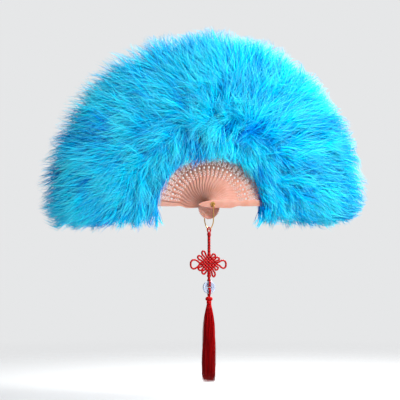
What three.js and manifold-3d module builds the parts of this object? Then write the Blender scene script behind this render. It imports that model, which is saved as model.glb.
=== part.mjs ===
// A folding feather fan: two guards and a stack of pierced sticks on one hollow rivet, a plume
// of fluff on every stick, and a pendant that hangs from a wire bail at the pivot.
// Millimetres, +Z up. The origin is on the pivot's axis, halfway through the stack. The front
// guard points along +X, the fan opens over +Z and +Y runs from the front guard to the rear one.
import * as THREE from 'three';
import { mergeVertices } from 'three/addons/utils/BufferGeometryUtils.js';
import Module from 'manifold-3d';

const wasm = await Module();
wasm.setup();

const degree = Math.PI / 180;

// Opening of the fan
const innerStickCount = 23;
const openAngle = 178 * degree;
const guardLift = 1 * degree;

// Clearances between pieces
const runningGap = 0.3;
const seamGap = 0.3;
const overrun = 2;

// Sticks, measured from the pivot
const stickThickness = 0.85;
const guardThickness = 1.5;
const headReach = 21.5;
const headHalfWidth = 4.9;
const petalRadius = 26;
const petalHalfWidth = 6.2;
const pinchRadius = 39.5;
const pinchHalfWidth = 3.4;
const bladeStart = 47;
const bladeHalfWidth = 4.15;
const bladeReach = 185;
const tipLength = 8;
const tipHalfWidth = 2.4;

// Places along the head and the petal as shares of their length and half width
const headShares = [[-1, 0], [-0.87, 0.36], [-0.63, 0.74], [-0.32, 0.97], [0, 1]];
const petalShares = [[0.5, 0.87], [0.8, 0.97], [1, 1], [1.2, 0.95]];

// Piercing of an inner stick
const slotRadius = 45.2;
const slotLength = 5.4;
const slotWidth = 1.5;
const dotRadius = 50.4;
const dotSize = 1.5;
const diamondRadius = 56;
const diamondLength = 4;
const diamondWidth = 2.8;
const fretFirstRadius = 60.6;
const fretPitch = 4.2;
const fretRows = 2;
const fretLength = 2.4;
const fretWidth = 1.5;
const fretOffset = 1.9;

// Hollow rivet
const rivetRadius = 1.6;
const rivetBoreRadius = 1.05;
const rivetHeadRadius = 3.4;
const rivetHeadThickness = 0.5;
const roundSides = 12;

// Plumes
const plumeInnerRadius = 67;
const plumeOuterRadius = 236;
const plumeHalfDepth = 26;
const plumeDroop = 44;
// Along the plume: place as a share of its length, then half depth as a share of the deepest
const plumeShares = [
  [0, 0.2], [0.08, 0.45], [0.22, 0.76], [0.42, 0.96], [0.65, 1], [0.86, 0.74], [1, 0.14],
];
// By this share of its length a plume is centred on the stack, wherever its stick lies in it
const plumeCentringShare = 0.42;
// Below a guard: depth as a share of the droop, then the half depth as a share of the full one,
// and the inner and outer ends drawn in as shares of the plume's length
const droopShares = [[0, 1, 0, 0], [0.4, 0.94, 0, 0.02], [0.75, 0.72, 0.06, 0.12], [1, 0.3, 0.26, 0.4]];

// Wire bail
const wireRadius = 0.75;
const wireSides = 8;
const bailInset = 2;
const bailBend = 1.6;
const bailStraight = 21.5;
const bailDrop = 36;
const bailFootHalfWidth = 5.5;
const bailSteps = 56;

// Pendant cord, its eye round the wire, and the endless knot
const cordRadius = 2.2;
const cordLength = 33.5;
const cordSides = 8;
const cordSteps = 6;
const strandRadius = 1.05;
const strandSides = 6;
const loopSteps = 12;
const knotHalfWidth = 12.7;
const knotThickness = 4.6;
const knotEdge = 1.2;
const earReach = 14.6;
const earHalfWidth = 6.6;
const petalLoopReach = 5.6;
const petalLoopHalfWidth = 2.3;
// Middles of the small loops along each slanted side of the knot, as shares of that side
const petalLoopShares = [0.3, 0.7];
// A teardrop loop: outward place as a share of its reach, sideways place as a share of half width
const loopShares = [[-0.3, 0.12], [0.08, 0.36], [0.45, 0.86], [0.8, 0.95], [1, 0.4]];
const beadRadius = 2.6;
const beadLength = 7.4;

// Stone ring and its two cord loops
const ringRadius = 9.25;
const ringHoleRadius = 2.7;
const ringThickness = 3.6;
const ringRound = 0.8;
const ringSides = 24;
const neckLength = 1.9;

// Tassel
const tasselHeadRadius = 4.35;
const tasselHeadLength = 5;
const tasselNeckRadius = 3.1;
const tasselNeckLength = 5.6;
const skirtTopRadius = 3.4;
const skirtShoulderRadius = 5.6;
const skirtShoulder = 10;
const skirtBottomRadius = 9;
const skirtLength = 111.5;
const tasselSides = 12;
// Roundness of the tassel's head: height as a share of its length, radius as a share of its radius
const tasselHeadShares = [[0, 0.45], [0.12, 0.82], [0.35, 1], [0.7, 1], [0.92, 0.84]];

// Worked out from the above
const stickCount = innerStickCount + 2;
const stickPitch = openAngle / (stickCount - 1);
const stackDepth = 2 * guardThickness + innerStickCount * stickThickness + (stickCount - 1) * runningGap;
const rivetEnd = stackDepth / 2 + runningGap + rivetHeadThickness;
const bailLegY = rivetEnd + Math.max(bailBend, runningGap + wireRadius);
const eyeZ = -bailDrop;
const eyeRadius = wireRadius + runningGap + strandRadius;
const cordTop = eyeZ - wireRadius - runningGap;
const cordBottom = cordTop - cordLength;
const knotZ = cordBottom - runningGap - knotHalfWidth;
const beadTop = knotZ - knotHalfWidth - runningGap;
const neckTop = beadTop - beadLength - runningGap;
const ringTopZ = neckTop - neckLength - strandRadius - runningGap;
const ringZ = ringTopZ - ringRadius;
const ringLoopY = ringThickness / 2 + runningGap + strandRadius;
const tasselTop = ringZ - ringRadius - runningGap - strandRadius - neckLength;

const plastic = { color: 0xf0b09a, roughness: 0.42, metalness: 0 };
const fluff = { color: 0x1fb6ec, roughness: 0.95, metalness: 0 };
const brass = { color: 0xc9a45a, roughness: 0.3, metalness: 1 };
const silk = { color: 0xc4101c, roughness: 0.6, metalness: 0 };
const stone = { color: 0xe6ecf2, roughness: 0.25, metalness: 0 };

const fan = new THREE.Group();

// Adds one closed body as a named mesh, turned about the pivot where it has an angle
function addPiece(name, geometry, finish, angle = 0) {
  const mesh = new THREE.Mesh(geometry, new THREE.MeshStandardMaterial(finish));
  mesh.name = name;
  mesh.rotation.y = -angle;
  fan.add(mesh);
}

// A three.js geometry as a solid that can be cut and joined
function solidOf(geometry) {
  const bare = geometry.clone();
  bare.deleteAttribute('normal');
  bare.deleteAttribute('uv');
  const merged = mergeVertices(bare);
  return new wasm.Manifold(new wasm.Mesh({
    numProp: 3,
    vertProperties: merged.attributes.position.array,
    triVerts: Uint32Array.from(merged.index.array),
  }));
}

// A solid as a three.js geometry
function geometryOf(solid) {
  const mesh = solid.getMesh();
  const geometry = new THREE.BufferGeometry();
  geometry.setAttribute('position', new THREE.BufferAttribute(mesh.vertProperties, 3));
  geometry.setIndex(new THREE.BufferAttribute(mesh.triVerts, 1));
  geometry.computeVertexNormals();
  return geometry;
}

// A flat shape in X and Z, thickened from frontY towards +Y
function plate(shape, frontY, thickness) {
  const geometry = new THREE.ExtrudeGeometry(shape, { depth: thickness, bevelEnabled: false });
  geometry.rotateX(Math.PI / 2);
  geometry.translate(0, frontY + thickness, 0);
  return geometry;
}

// A closed body through sections of equally many points, whose outline runs counter-clockwise
// where the last section is nearest the eye
function loft(sections, outline) {
  const count = outline.length;
  const last = (sections.length - 1) * count;
  const index = [];
  for (let row = 0; row < last; row += count) {
    for (let i = 0; i < count; i += 1) {
      const a = row + i;
      const b = row + ((i + 1) % count);
      index.push(a, b, b + count, a, b + count, a + count);
    }
  }
  THREE.ShapeUtils.triangulateShape(outline, []).forEach(([a, b, c]) => {
    index.push(a, c, b, last + a, last + b, last + c);
  });
  const geometry = new THREE.BufferGeometry();
  geometry.setAttribute('position', new THREE.Float32BufferAttribute(
    sections.flat().flatMap((point) => point.toArray()), 3));
  geometry.setIndex(index);
  return geometry;
}

// A round tube along a curve, with flat ends
function tube(curve, radius, sides, steps) {
  const section = new THREE.Shape(polygonCorners(radius, sides));
  return new THREE.ExtrudeGeometry(section, { steps, extrudePath: curve, bevelEnabled: false });
}

// The corners of a regular polygon
function polygonCorners(radius, sides) {
  return Array.from({ length: sides }, (_, i) => {
    const turn = (i / sides) * 2 * Math.PI;
    return new THREE.Vector2(radius * Math.cos(turn), radius * Math.sin(turn));
  });
}

// A body of revolution about the Z axis, from [radius, z] pairs that run upwards
function turned(profile, sides) {
  const points = profile.map(([radius, z]) => new THREE.Vector2(radius, z));
  return new THREE.LatheGeometry(points, sides).rotateX(Math.PI / 2);
}

// A four-cornered hole centred at a place along the stick
function diamondHole(along, across, length, width) {
  return new THREE.Path([
    new THREE.Vector2(along - length / 2, across),
    new THREE.Vector2(along, across - width / 2),
    new THREE.Vector2(along + length / 2, across),
    new THREE.Vector2(along, across + width / 2),
  ]);
}

// One side of a stick's outline, from the head's point to the tip of the blade
function stickSide() {
  return [
    ...headShares.map(([along, across]) => [along * headReach, across * headHalfWidth]),
    ...petalShares.map(([along, across]) => [along * petalRadius, across * petalHalfWidth]),
    [pinchRadius, pinchHalfWidth],
    [bladeStart, bladeHalfWidth],
    [bladeReach - tipLength, bladeHalfWidth],
    [bladeReach, tipHalfWidth],
  ];
}

// A stick's outline with the hole for the rivet
function stickShape() {
  const near = stickSide();
  const far = near.slice(1).reverse().map(([along, across]) => [along, -across]);
  const corners = [...near, ...far].map(([along, across]) => new THREE.Vector2(along, across));
  const shape = new THREE.Shape(corners.reverse());
  const holeRadius = (rivetRadius + runningGap) / Math.cos(Math.PI / roundSides);
  shape.holes.push(new THREE.Path(polygonCorners(holeRadius, roundSides)));
  return shape;
}

// The outline of an inner stick with its slot, dot, diamond and fretwork
function piercedShape() {
  const shape = stickShape();
  shape.holes.push(diamondHole(slotRadius, 0, slotLength, slotWidth));
  shape.holes.push(diamondHole(dotRadius, 0, dotSize, dotSize));
  shape.holes.push(diamondHole(diamondRadius, 0, diamondLength, diamondWidth));
  for (let row = 0; row < fretRows; row += 1) {
    const along = fretFirstRadius + row * fretPitch;
    shape.holes.push(diamondHole(along, fretOffset, fretLength, fretWidth));
    shape.holes.push(diamondHole(along, -fretOffset, fretLength, fretWidth));
  }
  return shape;
}

// Half depth and middle of a plume at a share of its length, for a stick at middleY
function plumeStation([along, depth], middleY) {
  const centred = Math.min(1, along / plumeCentringShare);
  return { along, middle: middleY * (1 - centred), half: depth * plumeHalfDepth };
}

// A section's corners out along the front and back along the rear, each placed by (station, side)
function plumeSection(middleY, place) {
  const stations = plumeShares.map((shares) => plumeStation(shares, middleY));
  return [
    ...stations.map((station) => place(station, -1)),
    ...stations.slice().reverse().map((station) => place(station, 1)),
  ];
}

// The radial face of a plume, on the seam with its neighbour. sense is 1 on the far side
function seamSection(middleY, sense) {
  return plumeSection(middleY, ({ along, middle, half }, side) => {
    const radius = THREE.MathUtils.lerp(plumeInnerRadius, plumeOuterRadius, along);
    const across = radius * Math.sin(stickPitch / 2) - seamGap / 2;
    return new THREE.Vector3(radius * Math.cos(stickPitch / 2), middle + side * half, sense * across);
  });
}

// A section of the fluff that hangs below a guard
function droopSection(middleY, sense, [depthShare, halfShare, innerShare, outerShare]) {
  const depth = depthShare * plumeDroop;
  const reach = Math.sqrt(plumeOuterRadius ** 2 - depth ** 2);
  const length = reach - plumeInnerRadius;
  const start = plumeInnerRadius + innerShare * length;
  const end = reach - outerShare * length;
  return plumeSection(middleY, ({ along, middle, half }, side) => new THREE.Vector3(
    THREE.MathUtils.lerp(start, end, along), middle + side * half * halfShare, sense * depth));
}

// The slot that a plume leaves for its stick's blade
function bladeSlot(middleY, thickness) {
  const length = bladeReach + runningGap - plumeInnerRadius + overrun;
  const slot = new THREE.BoxGeometry(
    length, thickness + 2 * runningGap, 2 * (bladeHalfWidth + runningGap));
  return slot.translate(plumeInnerRadius - overrun + length / 2, middleY, 0);
}

// A plume round one stick. droopSense is -1 or 1 for fluff below a guard, and 0 inside the fan
function plume(middleY, thickness, droopSense) {
  const outline = plumeSection(middleY, ({ along, middle, half }, side) => new THREE.Vector2(
    along * plumeOuterRadius, middle + side * half));
  const droop = droopShares.map((shares) => droopSection(middleY, droopSense, shares));
  const sections = droopSense === 0
    ? [seamSection(middleY, -1), seamSection(middleY, 1)]
    : [seamSection(middleY, -droopSense), ...droop];
  const ordered = droopSense < 0 ? sections.reverse() : sections;
  return geometryOf(solidOf(loft(ordered, outline)).subtract(solidOf(bladeSlot(middleY, thickness))));
}

// Guards, sticks and their plumes, from the front guard to the rear one
function addSticks() {
  const inner = piercedShape();
  const guard = stickShape();
  let frontY = -stackDepth / 2;
  for (let i = 0; i < stickCount; i += 1) {
    const isFront = i === 0;
    const isRear = i === stickCount - 1;
    const isGuard = isFront || isRear;
    const thickness = isGuard ? guardThickness : stickThickness;
    const middleY = frontY + thickness / 2;
    const angle = guardLift + i * stickPitch;
    const number = String(i).padStart(2, '0');
    const name = isFront ? 'front_guard' : isRear ? 'rear_guard' : `stick_${number}`;
    const droopSense = isFront ? -1 : isRear ? 1 : 0;
    addPiece(name, plate(isGuard ? guard : inner, frontY, thickness), plastic, angle);
    addPiece(`plume_${isGuard ? name : number}`, plume(middleY, thickness, droopSense), fluff, angle);
    frontY += thickness + runningGap;
  }
}

// The hollow rivet through the stack, with a flared head at each end
function addRivet() {
  const neck = rivetEnd - rivetHeadThickness;
  const profile = [
    [rivetBoreRadius, -rivetEnd], [rivetHeadRadius, -rivetEnd], [rivetHeadRadius, -neck],
    [rivetRadius, -neck], [rivetRadius, neck], [rivetHeadRadius, neck],
    [rivetHeadRadius, rivetEnd], [rivetBoreRadius, rivetEnd], [rivetBoreRadius, -rivetEnd],
  ].map(([radius, y]) => new THREE.Vector2(radius, y));
  addPiece('pivot_rivet', new THREE.LatheGeometry(profile, roundSides), brass);
}

// The middle line of the bail: into the rivet, down past the heads and round under them
function bailCurve() {
  const point = (y, z) => new THREE.Vector3(0, y, z);
  const end = rivetEnd - bailInset;
  const curve = new THREE.CurvePath();
  const half = (side) => [
    new THREE.LineCurve3(point(side * end, 0), point(side * (bailLegY - bailBend), 0)),
    new THREE.QuadraticBezierCurve3(
      point(side * (bailLegY - bailBend), 0), point(side * bailLegY, 0),
      point(side * bailLegY, -bailBend)),
    new THREE.LineCurve3(point(side * bailLegY, -bailBend), point(side * bailLegY, -bailStraight)),
    new THREE.CubicBezierCurve3(
      point(side * bailLegY, -bailStraight), point(side * bailLegY, -(bailStraight + bailDrop) / 2),
      point(side * bailFootHalfWidth, -bailDrop), point(0, -bailDrop)),
  ];
  half(-1).forEach((piece) => curve.add(piece));
  half(1).reverse().forEach((piece) => curve.add(backwards(piece)));
  return curve;
}

// The same curve run from its other end
function backwards(piece) {
  const names = ['v0', 'v1', 'v2', 'v3'].filter((name) => piece[name] !== undefined);
  return new piece.constructor(...names.map((name) => piece[name]).reverse());
}

function addBail() {
  addPiece('bail', tube(bailCurve(), wireRadius, wireSides, bailSteps), brass);
}

// The doubled cord from the bail to the knot, with the eye that goes round the wire
function addPendantCord() {
  const bottom = new THREE.Vector3(0, 0, cordBottom);
  const route = new THREE.LineCurve3(bottom, new THREE.Vector3(0, 0, cordTop - eyeRadius));
  const eyeEnd = cordTop - 2 * eyeRadius;
  const eye = new THREE.CatmullRomCurve3([
    new THREE.Vector3(-strandRadius, 0, eyeEnd),
    new THREE.Vector3(-eyeRadius, 0, eyeZ - wireRadius),
    new THREE.Vector3(-eyeRadius, 0, eyeZ + wireRadius),
    new THREE.Vector3(0, 0, eyeZ + eyeRadius),
    new THREE.Vector3(eyeRadius, 0, eyeZ + wireRadius),
    new THREE.Vector3(eyeRadius, 0, eyeZ - wireRadius),
    new THREE.Vector3(strandRadius, 0, eyeEnd),
  ]);
  const cord = solidOf(tube(route, cordRadius, cordSides, cordSteps));
  const eyeLoop = solidOf(tube(eye, strandRadius, strandSides, loopSteps));
  addPiece('pendant_cord', geometryOf(cord.add(eyeLoop)), silk);
}

// A teardrop loop of cord that stands out from the knot at (x, z) in the direction of turn
function cordLoop(x, z, turn, reach, halfWidth) {
  const side = loopShares.map(([out, across]) => [out * reach, across * halfWidth]);
  const around = [...side, ...side.slice().reverse().map(([out, across]) => [out, -across])];
  const points = around.map(([out, across]) => new THREE.Vector3(
    x + out * Math.cos(turn) - across * Math.sin(turn),
    0,
    z + out * Math.sin(turn) + across * Math.cos(turn)));
  return solidOf(tube(new THREE.CatmullRomCurve3(points), strandRadius, strandSides, loopSteps));
}

// The woven middle of the knot as a square pad standing on one corner, its edges cut slanting
function knotPad() {
  const reach = knotHalfWidth;
  const rim = knotThickness / 2 - knotEdge;
  const rows = [
    [knotThickness / 2, reach - knotEdge], [rim, reach],
    [-rim, reach], [-knotThickness / 2, reach - knotEdge],
  ];
  const corners = (half) => [[half, 0], [0, half], [-half, 0], [0, -half]];
  const sections = rows.map(([y, half]) => corners(half).map(
    ([x, z]) => new THREE.Vector3(x, y, knotZ + z)));
  const outline = corners(reach).map(([x, z]) => new THREE.Vector2(x, z));
  return solidOf(loft(sections, outline));
}

function addKnot() {
  let knot = knotPad();
  for (const turn of [0, Math.PI]) {
    knot = knot.add(cordLoop(knotHalfWidth * Math.cos(turn), knotZ, turn, earReach, earHalfWidth));
  }
  for (let corner = 0; corner < 4; corner += 1) {
    const start = corner * Math.PI / 2;
    for (const share of petalLoopShares) {
      const x = knotHalfWidth * ((1 - share) * Math.cos(start) - share * Math.sin(start));
      const z = knotHalfWidth * ((1 - share) * Math.sin(start) + share * Math.cos(start));
      knot = knot.add(cordLoop(x, knotZ + z, start + Math.PI / 4, petalLoopReach, petalLoopHalfWidth));
    }
  }
  addPiece('endless_knot', geometryOf(knot), silk);
  const bead = new THREE.SphereGeometry(beadRadius, cordSides, cordSides / 2);
  bead.rotateX(Math.PI / 2).scale(1, 1, beadLength / (2 * beadRadius));
  addPiece('bead_knot', bead.translate(0, 0, beadTop - beadLength / 2), silk);
}

// The stone ring, a flat disc with a hole and rounded rims, facing the viewer
function addRing() {
  const half = ringThickness / 2;
  const profile = [
    [ringHoleRadius, -half + ringRound], [ringHoleRadius + ringRound, -half],
    [ringRadius - ringRound, -half], [ringRadius, -half + ringRound], [ringRadius, half - ringRound],
    [ringRadius - ringRound, half], [ringHoleRadius + ringRound, half],
    [ringHoleRadius, half - ringRound], [ringHoleRadius, -half + ringRound],
  ].map(([radius, y]) => new THREE.Vector2(radius, y));
  addPiece('stone_ring', new THREE.LatheGeometry(profile, ringSides).translate(0, 0, ringZ), stone);
}

// A loop of cord through the ring's hole and round its rim, drawn together at a neck.
// sense is 1 for the loop above the ring and -1 for the one below it
function ringLoop(sense) {
  const rim = ringZ + sense * (ringRadius + runningGap + strandRadius);
  const hole = ringZ + sense * (ringHoleRadius - runningGap - strandRadius);
  const inner = hole + sense * strandRadius;
  const points = [
    [0, rim], [-ringLoopY / 2, rim], [-ringLoopY, rim - sense * strandRadius * 2],
    [-ringLoopY, inner], [0, hole], [ringLoopY, inner],
    [ringLoopY, rim - sense * strandRadius * 2], [ringLoopY / 2, rim], [0, rim],
  ].map(([y, z]) => new THREE.Vector3(0, y, z));
  const route = new THREE.CatmullRomCurve3(points);
  const loop = solidOf(tube(route, strandRadius, strandSides, 2 * loopSteps));
  const neck = new THREE.CylinderGeometry(strandRadius, strandRadius, neckLength, cordSides);
  neck.rotateX(Math.PI / 2).translate(0, 0, rim + sense * neckLength / 2);
  return geometryOf(loop.add(solidOf(neck)));
}

function addTassel() {
  addPiece('tassel_cord', ringLoop(-1), silk);
  const headTop = tasselTop - runningGap;
  const neckTopZ = headTop - tasselHeadLength;
  const neckBottom = neckTopZ - tasselNeckLength;
  const head = [
    [0, neckBottom], [tasselNeckRadius, neckBottom], [tasselNeckRadius, neckTopZ],
    ...tasselHeadShares.slice().reverse().map(
      ([down, radius]) => [radius * tasselHeadRadius, headTop - down * tasselHeadLength]),
    [0, headTop],
  ];
  addPiece('tassel_head', turned(head, tasselSides), silk);
  const skirtTop = neckBottom - runningGap;
  const skirt = [
    [0, skirtTop - skirtLength], [skirtBottomRadius, skirtTop - skirtLength],
    [skirtShoulderRadius, skirtTop - skirtShoulder], [skirtTopRadius, skirtTop], [0, skirtTop],
  ];
  addPiece('tassel_skirt', turned(skirt, tasselSides), silk);
}

addSticks();
addRivet();
addBail();
addPendantCord();
addKnot();
addRing();
addPiece('ring_cord', ringLoop(1), silk);
addTassel();

export default fan;
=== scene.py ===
"""A folding feather fan with a knotted silk pendant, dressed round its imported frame.

Lengths are in metres. The front guard points along +X, the fan opens over +Z, and +Y runs from the
front guard to the rear one. Sizes and places that the frame holds are read from its nodes.
"""

import logging
import math
from contextlib import contextmanager
from dataclasses import dataclass
from enum import Enum
from typing import Iterator, Sequence

import bmesh
import bpy
import numpy as np
from mathutils import Matrix, Vector


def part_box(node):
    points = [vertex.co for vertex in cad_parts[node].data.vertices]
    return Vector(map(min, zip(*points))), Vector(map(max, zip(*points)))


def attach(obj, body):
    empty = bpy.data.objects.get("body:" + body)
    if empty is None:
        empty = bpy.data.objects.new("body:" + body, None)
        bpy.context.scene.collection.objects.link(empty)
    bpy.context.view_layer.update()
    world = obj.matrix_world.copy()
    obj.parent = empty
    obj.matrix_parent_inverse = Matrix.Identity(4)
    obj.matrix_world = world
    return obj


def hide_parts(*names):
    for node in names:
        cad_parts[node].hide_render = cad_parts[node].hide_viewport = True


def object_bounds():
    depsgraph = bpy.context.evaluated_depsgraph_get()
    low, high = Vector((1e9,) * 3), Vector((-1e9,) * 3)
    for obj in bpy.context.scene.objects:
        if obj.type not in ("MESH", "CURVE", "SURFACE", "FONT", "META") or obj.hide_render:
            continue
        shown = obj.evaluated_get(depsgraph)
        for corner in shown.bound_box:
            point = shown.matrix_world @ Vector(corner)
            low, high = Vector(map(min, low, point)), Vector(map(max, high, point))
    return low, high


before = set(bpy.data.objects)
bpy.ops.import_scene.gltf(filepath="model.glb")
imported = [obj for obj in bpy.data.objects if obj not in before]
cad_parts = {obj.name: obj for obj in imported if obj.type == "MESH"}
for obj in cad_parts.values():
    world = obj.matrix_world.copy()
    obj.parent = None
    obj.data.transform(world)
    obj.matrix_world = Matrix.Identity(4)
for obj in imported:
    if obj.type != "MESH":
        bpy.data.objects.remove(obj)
CAD_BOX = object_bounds()

MM = 0.001
SEED = 2805
# The own maps of strands and of round cords
STRAND_MAP = "OFBake"
CORD_MAP = "CordLay"
# Corners nearer than this are one
WELD = 0.001 * MM
LOG = logging.getLogger("feather_fan")

Colour = tuple[float, float, float, float]
Profile = Sequence[tuple[float, float]]
Stops = Sequence[tuple[float, str]]


class Face(Enum):
    """A face of the open fan, with the sense of Y in which it looks."""

    FRONT = -1
    BACK = 1


class Place(Enum):
    """Where a stick lies in the fan, with the sense in which its fluff hangs below it."""

    FRONT_GUARD = -1
    INNER = 0
    REAR_GUARD = 1


class Axis(Enum):
    """The axis that a turned piece is spun about."""

    Y = (0.0, 1.0, 0.0)
    Z = (0.0, 0.0, 1.0)


class Lean(Enum):
    """The upper side that a line of the weave runs to, with the sense of Y of its first crossing."""

    RIGHT = -1
    LEFT = 1


def colour_of(code: str) -> Colour:
    """Turns an sRGB hex colour into linear light.

    Args:
        code: The colour as #RRGGBB.

    Returns:
        Red, green, blue and an alpha of 1.
    """
    channels = [int(code[i:i + 2], 16) / 255 for i in (1, 3, 5)]
    linear = [c / 12.92 if c <= 0.04045 else ((c + 0.055) / 1.055) ** 2.4 for c in channels]
    return (*linear, 1.0)


def add_node(tree: bpy.types.NodeTree, kind: str, settings: dict | None = None,
             links: dict | None = None, stops: Stops = ()) -> bpy.types.Node:
    """Adds a shader node with its settings and links.

    Args:
        tree: The node tree of the material.
        kind: The node's type, such as ShaderNodeTexNoise.
        settings: Values of the node's own options or of its input sockets, by name or number.
        links: The output sockets that feed its input sockets, by name or number.
        stops: The places on its colour ramp, from 0 to 1, each with its hex colour.

    Returns:
        The new node.
    """
    node = tree.nodes.new(kind)
    for name, value in (settings or {}).items():
        if isinstance(name, str) and hasattr(node, name):
            setattr(node, name, value)
        else:
            node.inputs[name].default_value = value
    for name, source in (links or {}).items():
        tree.links.new(source, node.inputs[name])
    if stops:
        marks = node.color_ramp.elements
        for _ in stops[2:]:
            marks.new(1.0)
        for mark, (place, code) in zip(marks, stops):
            mark.position = place
            mark.color = colour_of(code)
    return node


def bare_material(name: str, **sockets: object) -> tuple[bpy.types.Material, bpy.types.Node]:
    """Makes a material with one Principled shader.

    Args:
        name: The material's name.
        sockets: Values of the shader's own sockets, with _ for a space.

    Returns:
        The material and its shader.
    """
    material = bpy.data.materials.new(name)
    material.use_nodes = True
    shader = material.node_tree.nodes["Principled BSDF"]
    for socket, value in sockets.items():
        shader.inputs[socket.replace("_", " ")].default_value = value
    return material, shader


def lay_on(tree: bpy.types.NodeTree, shader: bpy.types.Node, tone: bpy.types.Node,
           relief: bpy.types.Node, strength: float, depth: float) -> None:
    """Gives a shader the colour of one pattern and the relief of another.

    Args:
        tree: The node tree of the material.
        shader: The material's shader.
        tone: The ramp that its colour comes from.
        relief: The pattern that stands out of the surface.
        strength: How strongly the relief shades, from 0 to 1.
        depth: How far it stands out.
    """
    bump = add_node(tree, "ShaderNodeBump", {"Strength": strength, "Distance": depth},
                    {"Height": relief.outputs["Fac"]})
    tree.links.new(tone.outputs["Color"], shader.inputs["Base Color"])
    tree.links.new(bump.outputs["Normal"], shader.inputs["Normal"])


def dye_strands(tree: bpy.types.NodeTree, shader: bpy.types.Node, tones: Stops,
                along: Stops) -> None:
    """Colours strands by their own map: across it each one's tone, up it the way to its end.

    Args:
        tree: The node tree of the material.
        shader: The material's shader.
        tones: The colours from the darkest strand to the lightest.
        along: The colours that multiply them, from a strand's root to its end.
    """
    place = add_node(tree, "ShaderNodeUVMap", {"uv_map": STRAND_MAP})
    split = add_node(tree, "ShaderNodeSeparateXYZ", links={0: place.outputs["UV"]})
    tone = add_node(tree, "ShaderNodeValToRGB", links={"Fac": split.outputs["X"]}, stops=tones)
    way = add_node(tree, "ShaderNodeValToRGB", links={"Fac": split.outputs["Y"]}, stops=along)
    mixed = add_node(tree, "ShaderNodeMix", {"data_type": "RGBA", "blend_type": "MULTIPLY", 0: 1.0},
                     {6: way.outputs["Color"], 7: tone.outputs["Color"]})
    tree.links.new(mixed.outputs[2], shader.inputs["Base Color"])


@dataclass(frozen=True)
class MouldedPolystyrene:
    """Injection-moulded polystyrene: peach, satin, with faint flow marks that run with the light."""

    colour: str = "#CB9787"
    deeper: str = "#C0826D"
    flow_mm: float = 14.0
    flow_detail: float = 3.0
    grain_mm: float = 0.9
    grain_depth_mm: float = 0.05
    grain_strength: float = 0.08
    roughness: float = 0.36
    ior: float = 1.59
    scatter: float = 0.4
    scatter_mm: float = 1.0

    def material(self) -> bpy.types.Material:
        """Makes the finish.

        Returns:
            The material.
        """
        made, shader = bare_material("moulded_polystyrene", IOR=self.ior, Roughness=self.roughness,
                                     Subsurface_Weight=self.scatter,
                                     Subsurface_Scale=self.scatter_mm * MM)
        tree = made.node_tree
        place = add_node(tree, "ShaderNodeTexCoord").outputs["Object"]
        flow = add_node(tree, "ShaderNodeTexNoise",
                        {"Scale": 1 / (self.flow_mm * MM), "Detail": self.flow_detail},
                        {"Vector": place})
        tone = add_node(tree, "ShaderNodeValToRGB", links={"Fac": flow.outputs["Fac"]},
                        stops=[(0.3, self.deeper), (0.7, self.colour)])
        grain = add_node(tree, "ShaderNodeTexNoise", {"Scale": 1 / (self.grain_mm * MM)},
                         {"Vector": place})
        lay_on(tree, shader, tone, grain, self.grain_strength, self.grain_depth_mm * MM)
        return made


@dataclass(frozen=True)
class MarabouDown:
    """Dyed marabou down: matt, deep blue at the quill, turquoise along the barb and pale at its tip;
    the deep blue is partly painted shade and the pale tip partly a painted highlight.
    """

    # Painted shade and highlight: the deep blue at the quill partly paints the shade of the fluff's
    # depth, and the pale end partly paints its highlight
    along: tuple = ((0.0, "#007FDC"), (0.25, "#00C0FF"), (0.6, "#02E6FF"), (1.0, "#70F2FF"))
    # Painted shade: the darkest tone is a deep blue that paints the hue of shade on the barbs given it
    tones: tuple = ((0.0, "#297DDC"), (0.8, "#FFFFFF"))
    roughness: float = 0.7
    ior: float = 1.45
    gloss: float = 0.02

    def material(self) -> bpy.types.Material:
        """Makes the finish.

        Returns:
            The material.
        """
        made, shader = bare_material("marabou_down", Roughness=self.roughness, IOR=self.ior,
                                     Specular_IOR_Level=self.gloss)
        dye_strands(made.node_tree, shader, self.tones, self.along)
        return made


@dataclass(frozen=True)
class DrawnBrass:
    """Drawn and lacquered brass wire: a warm metal with faint lines and a soft gloss."""

    colour: str = "#D2A45C"
    dull: str = "#AC8244"
    patch_mm: float = 3.0
    line_mm: float = 0.25
    line_depth_mm: float = 0.02
    line_strength: float = 0.1
    roughness: float = 0.32

    def material(self) -> bpy.types.Material:
        """Makes the finish.

        Returns:
            The material.
        """
        made, shader = bare_material("drawn_brass", Metallic=1.0, Roughness=self.roughness)
        tree = made.node_tree
        place = add_node(tree, "ShaderNodeTexCoord").outputs["Object"]
        patch = add_node(tree, "ShaderNodeTexNoise", {"Scale": 1 / (self.patch_mm * MM)},
                         {"Vector": place})
        tone = add_node(tree, "ShaderNodeValToRGB", links={"Fac": patch.outputs["Fac"]},
                        stops=[(0.35, self.dull), (0.6, self.colour)])
        lines = add_node(tree, "ShaderNodeTexNoise", {"Scale": 1 / (self.line_mm * MM)},
                         {"Vector": place})
        lay_on(tree, shader, tone, lines, self.line_strength, self.line_depth_mm * MM)
        return made


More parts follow.
